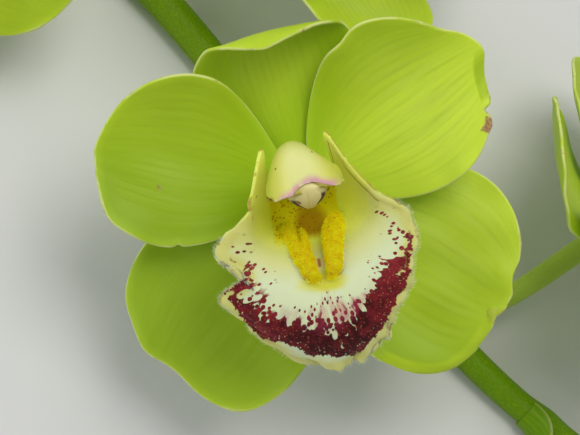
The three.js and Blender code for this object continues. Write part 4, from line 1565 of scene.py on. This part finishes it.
# ---------------------------------------------------------------- column
@dataclass(frozen=True)
class Column:
    """The arched column, hollowed under its hood where the anther cap sits.

    Attributes:
        spine: points along its middle, evenly spaced from root to hood.
        widths, backs, fronts: half-widths, and heights of its back and front, spaced in the same way.
        edge: how far forward the hood's edge reaches, across from left to right.
        fuller: how much wider its right shoulder is.
        hollow: rings that turn in under the hood, each with its size and how deep it lies.
        cap_centre, cap_size, cap_tilt: the anther cap's middle, half sizes and tilt in degrees.
    """

    spine: tuple[Triple, ...] = (
        (0, 0, 1.0), (0, 1.2, 7), (-0.6, 3.9, 14), (-1.3, 3.6, 21), (0, -1.8, 27.7),
    )
    widths: tuple[float, ...] = (3.9, 3.95, 4.0, 4.1, 4.3, 4.6, 5.3, 7.7, 8.6)
    backs: tuple[float, ...] = (3.4, 3.8, 5.2, 5.5, 2.4)
    fronts: tuple[float, ...] = (3.2, 3.0, 2.8, 2.6, 2.0)
    edge: tuple[tuple[float, float], ...] = (
        (-8.6, -0.4), (-8.3, 1.8), (-7.6, 3.3), (-5.5, 3.5), (-3.7, 3.5), (-2.2, 1.5), (0.4, 0.35),
        (2.1, 0.3), (3.6, 1.2), (4.8, 2.0), (6.3, 2.6), (7.3, 2.3), (8.0, 1.2), (8.6, -1.6),
    )
    fuller: float = 0.22
    hollow: tuple[tuple[float, float], ...] = (
        (0.95, -0.05), (0.90, 0.25), (0.80, 0.7), (0.60, 1.3), (0.30, 1.7),
    )
    cap_centre: Triple = (0.2, -2.9, 27.1)
    cap_size: Triple = (4.4, 3.3, 1.9)
    cap_tilt: float = 38

    def ring(self, t: float, sides: int, shrink: float, sink: float) -> Array:
        """Makes one section across the spine.

        Args:
            t: its place along the spine, from 0 to 1.
            sides: how many points it has.
            shrink: its size as a share of the outer one.
            sink: how far it is set back along the spine.

        Returns:
            The points.
        """
        spine = np.array(self.spine, float)
        station = np.array([t])
        at = through(spine, station)[0]
        before, after = through(spine, np.clip(np.array([t - 0.01, t + 0.01]), 0, 1))
        ahead = unit(after - before)
        back = np.array([0, ahead[2], -ahead[1]])
        a = turns(sides)
        high = np.where(np.sin(a) > 0, curve(self.backs, station), curve(self.fronts, station))
        late = smoothstep(0.75, 1.0, station)[0]
        wide = curve(self.widths, station) * np.sign(np.cos(a)) * np.abs(np.cos(a)) ** (1 - 0.3 * late)
        wide = wide * np.where(wide > 0, 1 + self.fuller * bump(0.83, 0.11, station), 1)
        arch = np.interp(wide, *np.array(self.edge).T)
        lower = 3.2 * np.clip(np.sin(a), -1, 0)
        reach = late * (arch * smoothstep(-0.2, 0.3, np.sin(a)) + lower)[:, None] * ahead
        flat = wide[:, None] * np.array([1.0, 0, 0]) + (high * np.sin(a))[:, None] * back
        return at + flat * shrink + reach - ahead * sink

    def body(self, rings: int, sides: int) -> tuple[Surface, Marks]:
        """Makes the column's skin in the bloom's frame.

        Args:
            rings: how many sections lie along the outside.
            sides: how many points each has.

        Returns:
            The skin, and what its finish reads.
        """
        a = turns(sides)
        made, marks = [], []
        outer = [(t, 1.0, 0.0) for t in np.linspace(0, 1, rings)]
        inner = [(1.0, shrink, sink) for shrink, sink in self.hollow]
        for index, (t, shrink, sink) in enumerate([*outer, *inner]):
            inside = index >= rings
            ring = self.ring(t, sides, shrink, sink)
            made.append(ring)
            rim = 0.3 + sink * 2 if inside else (1 - t) * 28
            around = np.sin(a) * 0.3 - sink * 0.4 if inside else np.sin(a)
            marks.append((np.full(sides, t), around, np.full(sides, rim), ring[:, 0], ring[:, 1]))
        values = capped(np.array(marks).transpose(0, 2, 1))
        front = np.concatenate([values[:, 3:], np.zeros((len(values), 1))], axis=1)
        return skin(np.stack(made)), {"growth": values[:, :3], "front": front}

    def cap(self, rings: int, sides: int, stain: float) -> tuple[Surface, Marks]:
        """Makes the anther cap's skin in the bloom's frame, with a groove, a beak and two slits.

        Args:
            rings: how many rings it has.
            sides: how many points each has.
            stain: how strongly the painted shadow in its slits and its stain show.

        Returns:
            The skin, and what its finish reads.
        """
        polar = np.linspace(0.04, math.pi - 0.04, rings)[:, None]
        a = turns(sides)[None, :]
        x, y, z = np.sin(polar) * np.cos(a), np.cos(polar) + 0 * a, -np.sin(polar) * np.sin(a)
        facing = z > 0
        oval = np.sqrt(x**2 + 0.9 * y**2)
        slit = bump(0.80, 0.07, oval) * smoothstep(0.35, 0.6, np.abs(x)) * smoothstep(0.75, 0.4, y) * facing
        swell = 1 - 0.13 * slit - 0.10 * bump(0, 0.14, x) * smoothstep(0.9, 0.2, y) * facing
        swell = swell + 0.10 * bump(0, 0.24, x) * smoothstep(-0.55, -0.95, y)
        dome = np.stack([x, y, z], axis=-1) * swell[..., None]
        dome[..., 0] *= 1 - 0.30 * smoothstep(0.35, -0.9, y)
        tilt = math.radians(self.cap_tilt)
        c, s = math.cos(tilt), math.sin(tilt)
        turn = np.array([[1, 0, 0], [0, c, s], [0, -s, c]])
        made = (dome * np.array(self.cap_size)) @ turn + np.array(self.cap_centre)
        front = np.stack([x, y, np.full_like(x, stain)], axis=-1)
        return skin(made[::-1]), {"front": capped(front[::-1])}


# ---------------------------------------------------------------- blooms
@dataclass(frozen=True)
class Detail:
    """How finely a bloom is made.

    Attributes:
        tepal, lip: rows and columns of a blade.
        column, cap: rings and sides of a skin.
        hairs: share of the hairs and grains.
        stain: how strongly the painted shadow in the anther cap's slits and its stain show.
    """

    tepal: tuple[int, int]
    lip: tuple[int, int]
    column: tuple[int, int]
    cap: tuple[int, int]
    hairs: float
    stain: float


FINE = Detail((84, 68), (160, 168), (44, 64), (40, 64), 1.0, 1.0)
PLAIN = Detail((44, 36), (76, 70), (22, 32), (24, 36), 0.3, 0.0)


@dataclass(frozen=True)
class Down:
    """One kind of hair or grain that a lip carries.

    Attributes:
        mark: what says where it stands.
        density: how many stand on a square metre.
        width: radius of its foot, in metres.
        length: in metres.
    """

    mark: str
    density: float
    width: float
    length: float


FRINGE = Down("fringe", 1.0e7, 0.000032, 0.00095)
GRAIN = Down("grain", 1.6e7, 0.00011, 0.00032)


@dataclass(frozen=True)
class Bloom:
    """One open bloom and its seat on the stem.

    Attributes:
        along, reach, height: its middle along the stem, sideways from it and over the table.
        side: +1 on the stem's +Y side.
        lean: degrees from upright, outwards, with swing towards the tip.
        turn: degrees of its top from -X towards the stalk.
        node: where its own stalk leaves the main one.
        size: its scale.
        seed: of its small differences.
        finest: whether it has the fine outlines and the dense mesh.
    """

    name: str
    along: float
    side: int
    reach: float
    height: float
    lean: float
    turn: float
    swing: float
    node: float
    size: float
    seed: float
    finest: bool = False

    def axes(self) -> Array:
        """Works out the bloom's right, top and face directions.

        Returns:
            A matrix with these directions as its rows.
        """
        lean, swing, turn = (math.radians(x) for x in (self.lean, self.swing, self.turn))
        face = unit(np.array([math.sin(swing), self.side * math.sin(lean), math.cos(lean)]))
        inward = np.array([0, -self.side * math.cos(lean), math.sin(lean)])
        top = np.array([-math.cos(turn), 0, 0]) + inward * math.sin(turn)
        right = unit(np.cross(top, face))
        return np.stack([right, np.cross(face, right), face])

    def centre(self) -> Array:
        """The bloom's middle in the plant's frame."""
        return np.array([self.along, self.side * self.reach, self.height])

    def seated(self, points: Array) -> Array:
        """Points of the bloom's frame in the plant's frame."""
        return points * self.size @ self.axes() + self.centre()

    def tepals(self) -> dict[str, tuple[Tepal, float]]:
        """Takes the common tepals with small differences, or the finest bloom's own.

        Returns:
            Each tepal by its name, with its seed.
        """
        if self.finest:
            return {n: (t, self.seed + t.angle) for n, t in OWN_TEPALS.items()}
        made = {}
        for name, common in COMMON_TEPALS.items():
            own = replace(
                common,
                length=common.length * (1 + 0.03 * wobble(self.seed, common.angle)),
                bend=common.bend + 3 * wobble(self.seed, common.length),
                angle=common.angle + 2 * wobble(self.seed, 5),
            )
            made[name] = (own, self.seed + common.angle)
        return made

    def build(self, finishes: Finishes, down: Growth) -> None:
        """Makes the bloom's pieces, dresses them and puts each in its node's place.

        Args:
            finishes: the materials.
            down: the tree that grows hairs.
        """
        detail = FINE if self.finest else PLAIN
        for name, (tepal, seed) in self.tepals().items():
            sheet, marks = tepal.blade(*detail.tepal, seed)
            self.place(name, sheet.surface(), finishes.tepal, marks, "tepal")
        sheet, marks = Lip().blade(*detail.lip, self.seed)
        marks["lean"] = marks["lean"] @ self.axes()
        lip = self.place("lip", sheet.surface(), finishes.lip, marks, "lip")
        for index, (kind, material) in enumerate(((FRINGE, finishes.fringe), (GRAIN, finishes.grain))):
            values = {
                "Material": material,
                "Density": kind.density * detail.hairs,
                "Seed": int(self.seed) * 7 + index,
                "Width": kind.width,
                "Length": kind.length,
                "Mark": kind.mark,
            }
            settle(down.grow(lip, f"{self.name}_lip_{kind.mark}", values))
        surface, marks = Column().body(*detail.column)
        self.place("column", surface, finishes.column, marks, "column")
        surface, marks = Column().cap(*detail.cap, detail.stain)
        self.place("anther_cap", surface, finishes.anther, marks, "anther_cap")

    def place(self, part: str, surface: Surface, material: Material, marks: Marks, slot: str) -> Object:
        """Makes one piece of the bloom over its node.

        Args:
            part: which part of the bloom it is.
            surface: its vertices in the bloom's frame, and its faces.
            material: its finish.
            marks: what the finish reads.
            slot: not used.

        Returns:
            The piece.
        """
        node = f"{self.name}_{part}"
        verts, faces = surface
        piece = solid(f"{node}_surface", (self.seated(verts), faces), material, marks)
        settle(piece, node)
        return piece


BLOOMS = (
    Bloom("bloom_1", -176, 1, 39, 30.3, 33, 24, -6, -198, 0.97, 3),
    Bloom("bloom_2", -118, -1, 40, 30.66, 31, 34, 4, -140, 0.96, 11),
    Bloom("bloom_3", -52, 1, 42, 30.17, 34, 22, -4, -76, 0.95, 23),
    Bloom("bloom_4", 0, -1, 22, 49, 20, 30, 0, -22, 1, 0, True),
    Bloom("bloom_5", 62, 1, 44, 30.15, 36, 31, 6, 50, 0.93, 41),
)


def settle(piece: Object, node: str | None = None) -> None:
    """Fixes a finished piece to the plant and reports it.

    Args:
        piece: the finished object.
        node: the node that it replaces, if any.
    """
    if node:
        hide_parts(node)
    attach(piece, "root")
    log.info("%s: %d faces", piece.name, len(piece.data.polygons))


# ---------------------------------------------------------------- buds
@dataclass(frozen=True)
class Bud:
    """An unopened bud of three overlapping sepals, and where its own stalk leaves the main one.

    Attributes:
        node: where its stalk leaves the main one.
        tip: from there to the end of that stalk.
        length, radius: of the bud.
        rise: degrees that it points up.
        profile: its thickness from root to tip, as shares of the radius.
    """

    name: str
    node: float
    tip: Triple
    length: float
    radius: float
    rise: float
    profile: tuple[float, ...] = (0.34, 0.62, 0.88, 1.0, 0.98, 0.84, 0.56, 0.16)

    def ahead(self) -> Array:
        """Works out the direction from the bud's root to its tip.

        Returns:
            A vector one long.
        """
        flat = math.atan2(self.tip[1], self.tip[0]) * 0.55
        rise = math.radians(self.rise)
        return np.array([math.cos(flat) * math.cos(rise), math.sin(flat) * math.cos(rise), math.sin(rise)])

    def root(self, stalk: Stalk) -> Array:
        """Where the bud sits on its own stalk."""
        return stalk.point(self.node) + np.array(self.tip)

    def build(self, stalk: Stalk, finishes: Finishes) -> None:
        """Makes the bud's skin over its node.

        Args:
            stalk: the stalk that it stands on.
            finishes: the materials.
        """
        ahead = self.ahead()
        side = unit(np.cross(ahead, [0, 0, 1]))
        top = np.cross(side, ahead)
        t = np.linspace(0, 1, 56)
        a = turns(96)
        share = curve(self.profile, t)
        start = self.root(stalk) + ahead * SEAT_GAP
        centre = start + ahead * (self.length * t)[:, None] - top * (0.08 * self.length * t * t)[:, None]
        third = ((a + 0.35 * t[:, None]) / (2 * math.pi) * 3 + 0.5) % 1
        overlap = 0.035 * (third - 0.5) * smoothstep(0.0, 0.2, t)[:, None] * smoothstep(0, 0.04, third)
        seam = 1 - 0.05 * np.maximum(0, np.cos(3 * a)) ** 2 + overlap
        rib = 0.006 * np.cos(24 * a) * smoothstep(0.0, 0.3, t)[:, None]
        r = (self.radius * share)[:, None] * (seam + rib)
        rings = centre[:, None] - side * (r * np.sin(a))[..., None] - top * (r * np.cos(a))[..., None]
        from_seam = np.minimum(third, 1 - third)
        growth = np.stack([t[:, None] + 0 * a, from_seam, a / (2 * math.pi) + 0 * third], axis=-1)
        piece = solid(f"{self.name}_surface", skin(rings), finishes.bud, {"growth": capped(growth)})
        settle(piece, self.name)


BUDS = (
    Bud("bud_1", 88, (26, -26, 10), 31, 8.2, -6),
    Bud("bud_2", 118, (20, 20, 6), 26, 6.8, 4),
    Bud("bud_3", 144, (16, -12, 3), 21, 5.2, 12),
    Bud("bud_4", 162, (11, 6, 3), 15, 3.7, 20),
)


# ---------------------------------------------------------------- stalk
@dataclass(frozen=True)
class Bract:
    """One bract that clasps the main stalk.

    Attributes:
        x: where it leaves the stalk.
        side: +1 on the stalk's +Y side.
        length: along the stalk.
        flare: how far its tip stands off.
    """

    x: float
    side: int
    length: float
    flare: float


@dataclass(frozen=True)
class Stalk:
    """The main stalk, the side stalks with their ovaries, and the bracts at the joints.

    Attributes:
        plan: places that the main stalk goes through, seen from above.
        radii: its radius at distances along X.
        rise_from, rise: where its young end begins to rise, and how steeply.
        swell, spread: height and width of a swollen joint.
        roundness, arm_share, bud_share: radius of the main stalk and of a bloom's and a bud's own
            stalk, as shares of the solids' radii, whose sections are polygons.
        ovary: radii of a bloom's side stalk, evenly spaced up to the knob.
        knob: heights in the bloom and radii of the knob under the tepals.
        wrap: degrees that a bract reaches round the stalk to each side.
    """

    plan: tuple[tuple[float, float], ...] = (
        (-262, 7), (-225, 3.5), (-170, 0.5), (-110, -0.8), (-54, 0.2), (-10, -2), (35, -3.2),
        (77, -1.3), (108, 5), (138, 13), (166, 20),
    )
    radii: tuple[tuple[float, float], ...] = (
        (-262, 5.5), (-54, 4.8), (77, 4.0), (130, 3.0), (166, 2.1),
    )
    rise_from: float = 84
    rise: float = 0.0022
    swell: float = 0.55
    spread: float = 5
    roundness: float = 0.957
    arm_share: float = 0.99
    bud_share: float = 0.97
    ovary: tuple[float, ...] = (3.0, 2.9, 2.9, 3.1, 3.2, 3.3)
    knob: tuple[tuple[float, float], ...] = (
        (-7.4, 3.6), (-6.6, 3.95), (-5, 4.1), (-3, 4.1), (-1, 4.05), (-0.25, 3.8), (0.0, 3.3),
    )
    wrap: float = 75

    def line(self) -> Array:
        """Draws a centripetal curve through the plan.

        Returns:
            The points, seen from above.
        """
        p = np.array(self.plan, float)
        p = np.concatenate([[2 * p[0] - p[1]], p, [2 * p[-1] - p[-2]]])
        f = np.linspace(0, 1, 60)[:, None]
        pieces = []
        for a, b, c, d in zip(p, p[1:], p[2:], p[3:]):
            near, mid, far = (math.sqrt(math.dist(*pair)) for pair in ((a, b), (b, c), (c, d)))
            leave = ((b - a) / near - (c - a) / (near + mid) + (c - b) / mid) * mid
            reach = ((c - b) / mid - (d - b) / (mid + far) + (d - c) / far) * mid
            square = 3 * (c - b) - 2 * leave - reach
            cube = 2 * (b - c) + leave + reach
            pieces.append(b + leave * f + square * f**2 + cube * f**3)
        return np.concatenate(pieces)

    def radius(self, x: Array) -> Array:
        """Radius of the main stalk, with its swollen joints.

        Args:
            x: distances along X.

        Returns:
            The radius at each.
        """
        table = np.array(self.radii)
        nodes = np.array([item.node for item in (*BLOOMS, *BUDS)])
        swells = sum(bump(node, self.spread, x) for node in nodes)
        return np.interp(x, table[:, 0], table[:, 1]) + self.swell * swells

    def point(self, x: Array | float) -> Array:
        """Centre of the main stalk at distances along X.

        Args:
            x: the distances.

        Returns:
            The centre at each.
        """
        line = self.line()
        x = np.asarray(x, float)
        flat = self.radius(x) * math.cos(math.pi / 10)
        lift = flat + self.rise * np.maximum(0, x - self.rise_from) ** 2
        return np.stack([x, np.interp(x, line[:, 0], line[:, 1]), lift], axis=-1)

    def direction(self, x: Array) -> Array:
        """The way the main stalk runs."""
        return unit(self.point(x + 0.5) - self.point(x - 0.5))

    def main_path(self) -> Path:
        """Follows the main stalk to its rounded young end.

        Returns:
            Centre and radius at places along it.
        """
        x = np.linspace(self.plan[0][0], self.plan[-1][0], 260)
        thick = self.radius(x) * self.roundness
        points = self.point(x)
        end = points[-1] + self.direction(x[-1:])[0] * 1.2
        return np.concatenate([points, [end]]), np.concatenate([thick, [thick[-1] * 0.6]])

    def bloom_path(self, bloom: Bloom) -> Path:
        """Follows a bloom's side stalk, up through its ovary to the tepals' seat.

        Args:
            bloom: the bloom that it bears.

        Returns:
            Centre and radius at places along it.
        """
        foot = self.point(bloom.node) + np.array([0, bloom.side * self.radius(bloom.node) * 0.3, 0])
        down = bloom.seated(np.array([[0, 0, -KNOB_DEPTH - 20], [0, 0, -KNOB_DEPTH - 1]]))
        control = [foot, foot + np.array([9, bloom.side * 11, 9]), *down]
        arm = bezier(control, 48)
        seat = bloom.seated(np.array([[0, 0, height] for height, _ in self.knob]))
        widths = curve(self.ovary, np.linspace(0, 1, len(arm)))
        widths[:5] += np.linspace(1.4, 0, 5) ** 2
        knob = np.array([radius for _, radius in self.knob])
        return np.concatenate([arm, seat]), np.concatenate([widths, knob]) * bloom.size * self.arm_share

    def bud_path(self, bud: Bud) -> Path:
        """Follows a bud's stalk.

        Args:
            bud: the bud that it bears.

        Returns:
            Centre and radius at places along it.
        """
        foot = self.point(bud.node)
        root = bud.root(self)
        control = [foot, foot + np.array([6, bud.tip[1] * 0.35, 3]), root - bud.ahead() * 8, root]
        path = bezier(control, 30)
        widths = curve((1.9, 1.6, 1.7, 0.34 * bud.radius + 0.2), np.linspace(0, 1, len(path)))
        return path, widths * self.bud_share

    def skin_piece(self, tree: Growth, finishes: Finishes) -> None:
        """Grows all the round stems along their paths as one piece.

        Args:
            tree: the tree that makes tubes.
            finishes: the materials.
        """
        paths = [self.main_path(), *(self.bloom_path(b) for b in BLOOMS), *(self.bud_path(b) for b in BUDS)]
        wire = bpy.data.meshes.new("stem_paths")
        points = np.concatenate([path for path, _ in paths])
        starts = np.cumsum([0, *(len(path) for path, _ in paths)])
        edges = [(i, i + 1) for a, b in zip(starts, starts[1:]) for i in range(a, b - 1)]
        wire.from_pydata(((points - MIDDLE) * MM).tolist(), edges, [])
        steps = [np.linalg.norm(np.diff(path, axis=0, prepend=path[:1]), axis=1) for path, _ in paths]
        values = {
            "thick": np.concatenate([thick for _, thick in paths]) * MM,
            "along": np.concatenate([np.cumsum(step) for step in steps]),
            "cut": np.full(len(points), 0.3),
        }
        values["cut"][: len(paths[0][0])] = 0
        values["cut"][0] = 1
        for key, numbers in values.items():
            layer = wire.attributes.new(key, "FLOAT", "POINT")
            layer.data.foreach_set("value", numbers.astype(np.float32))
        source = linked("stem_paths", wire)
        piece = tree.grow(source, "stalk_surface", {"Material": finishes.stalk, "Sides": 28})
        bpy.data.objects.remove(source)
        settle(piece, "stalk")

    def bract(self, name: str, place: Bract, finishes: Finishes) -> None:
        """Makes one pointed bract that clasps the stalk and flares towards its tip.

        Args:
            name: the piece's name.
            place: where it is and how far it reaches.
            finishes: the materials.
        """
        u, v = np.meshgrid(np.linspace(0, 1, 34), crowded(26, 1.4), indexing="ij")
        out = unit(np.array([0, place.side, 0.8]))
        at = place.x + place.length * u
        up = np.cross(out, self.direction(at)) * place.side
        a = v * (math.radians(self.wrap) * (1 - u**1.8) + 0.06)
        reach = self.radius(at) * self.roundness + 0.25 + place.flare * u**2 + 0.12 * np.sin(v * 9) * u
        spoke = out * np.cos(a)[..., None] + up * np.sin(a)[..., None]
        sheet = Sheet(self.point(at) + spoke * reach[..., None], *BRACT_BLADE)
        settle(solid(name, sheet.surface(), finishes.bract, sheet.marks(u, v)))

    def build(self, tree: Growth, finishes: Finishes) -> None:
        """Makes the stems and the bracts.

        Args:
            tree: the tree that makes tubes.
            finishes: the materials.
        """
        self.skin_piece(tree, finishes)
        places = [Bract(b.node - 8, b.side, 15, 5) for b in BLOOMS]
        places += [Bract(b.node - 5, 1 if b.tip[1] > 0 else -1, 10, 3.5) for b in BUDS]
        places.append(Bract(-240, 1, 38, 5))
        for index, place in enumerate(places, 1):
            self.bract(f"bract_{index}", place, finishes)


def bezier(control: list[Array], count: int) -> Array:
    """Draws a cubic Bezier curve.

    Args:
        control: its four control points.
        count: how many points to give.

    Returns:
        The points.
    """
    t = np.linspace(0, 1, count)[:, None]
    a, b, c, d = control
    return a * (1 - t) ** 3 + 3 * b * t * (1 - t) ** 2 + 3 * c * t**2 * (1 - t) + d * t**3


# ---------------------------------------------------------------- studio
@dataclass(frozen=True)
class Finishes:
    """Every material of the plant, made once."""

    tepal: Material
    lip: Material
    column: Material
    anther: Material
    stalk: Material
    bract: Material
    bud: Material
    fringe: Material
    grain: Material

    @classmethod
    def make(cls) -> Finishes:
        """Builds the materials."""
        return cls(
            TepalFinish().build(),
            LipFinish().build(),
            ColumnFinish().build(),
            AntherFinish().build(),
            StalkFinish(Leafage.STALK).build(),
            StalkFinish(Leafage.BRACT).build(),
            BudFinish().build(),
            DownFinish("lip_fringe", (0.88, 0.88, 0.66), (0.80, 0.80, 0.46)).build(),
            DownFinish("ridge_grain", (0.96, 0.84, 0.004), (0.90, 0.66, 0.002)).build(),
        )


@dataclass(frozen=True)
class Studio:
    """Pale table, soft lights and the camera that looks down on the bloom on top.

    Attributes:
        distance: from the camera to the bloom's middle, in metres.
        scale: metres that one pixel spans at the bloom's middle.
        image: size of the picture in pixels.
        aim: the bloom's middle in the picture.
        roll: degrees that the bloom's top leans to the left in the picture.
        sensor: width of the camera's sensor, in millimetres.
        table_half, table_drop: half the table's width, and how far it lies under the plant, in metres.
        sky: colour of the light from all round, and glow its strength.
    """

    bloom: Bloom
    distance: float = 0.4
    scale: float = 0.0002336
    image: tuple[int, int] = (580, 435)
    aim: tuple[float, float] = (303, 185)
    roll: float = 12
    sensor: float = 36
    table_half: float = 3.0
    table_drop: float = 0.0002
    sky: Colour = (0.92, 0.95, 1.0)
    glow: float = 0.37

    def directions(self) -> tuple[Vector, Vector, Vector]:
        """Works out how the camera is turned.

        Returns:
            Right and up in the picture, and from the bloom towards the camera.
        """
        right, top, face = (Vector(row) for row in self.bloom.axes())
        roll = math.radians(self.roll)
        up = right * math.sin(roll) + top * math.cos(roll)
        return right * math.cos(roll) - top * math.sin(roll), up, face

    def middle(self) -> Vector:
        """The bloom's middle in metres."""
        return Vector((self.bloom.centre() - MIDDLE) * MM)

    def camera(self) -> None:
        """Places the camera straight in front of the bloom."""
        right, up, face = self.directions()
        off = [(size / 2 - at) * self.scale for size, at in zip(self.image, self.aim)]
        place = self.middle() + right * off[0] - up * off[1] + face * self.distance
        lens = bpy.data.cameras.new("camera")
        lens.sensor_width = self.sensor
        lens.lens = self.sensor * self.distance / self.scale / self.image[0]
        lens.clip_start = 0.02
        lens.clip_end = 20
        holder = linked("camera", lens)
        turn = Matrix((right, up, face)).transposed().to_4x4()
        holder.matrix_world = Matrix.Translation(place) @ turn
        bpy.context.scene.camera = holder

    def light(self, name: str, place: Vector, size: float, power: float, colour: Colour) -> None:
        """Adds one soft square light that faces the bloom.

        Args:
            name: the light's name.
            place: from the bloom's middle, in metres.
            size: its width, in metres.
            power: in watts.
            colour: of its light.
        """
        data = bpy.data.lights.new(name, "AREA")
        data.size = size
        data.energy = power
        data.color = colour
        lamp = linked(name, data)
        lamp.location = self.middle() + place
        lamp.rotation_euler = place.to_track_quat("Z", "Y").to_euler()

    def table(self) -> None:
        """Adds the pale floor just under the plant."""
        mesh = bpy.data.meshes.new("table")
        half, low = self.table_half, -self.table_drop
        corners = [(-half, -half, low), (half, -half, low), (half, half, low), (-half, half, low)]
        mesh.from_pydata(corners, [], [(0, 1, 2, 3)])
        mesh.materials.append(TableFinish().build())
        floor = linked("table", mesh)

    def build(self) -> None:
        """Sets the whole studio."""
        right, up, face = self.directions()
        self.camera()
        self.light("key", face * 0.75 + up * 0.45 + right * 0.35, 0.55, 4.5, (1.0, 0.98, 0.94))
        self.light("fill", face * 0.6 - right * 0.75 + up * 0.1, 0.8, 3.0, (0.96, 0.98, 1.0))
        self.light("back", face * 0.25 + up * 0.9 - right * 0.3, 0.5, 1.0, (1.0, 1.0, 0.97))
        self.table()
        world = bpy.data.worlds.new("soft_room")
        world.use_nodes = True
        background = world.node_tree.nodes["Background"].inputs
        background["Color"].default_value = (*self.sky, 1)
        background["Strength"].default_value = self.glow
        bpy.context.scene.world = world
        bpy.context.scene.view_settings.view_transform = "Standard"


def main() -> None:
    """Builds the plant and the studio in order."""
    logging.basicConfig(level=logging.INFO, format="%(name)s: %(message)s")
    finishes = Finishes.make()
    Studio(next(bloom for bloom in BLOOMS if bloom.finest)).build()
    stalk = Stalk()
    stalk.build(stem_tree(), finishes)
    down = down_tree()
    for bloom in BLOOMS:
        bloom.build(finishes, down)
    for bud in BUDS:
        bud.build(stalk, finishes)
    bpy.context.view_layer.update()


if __name__ == "__main__":
    main()
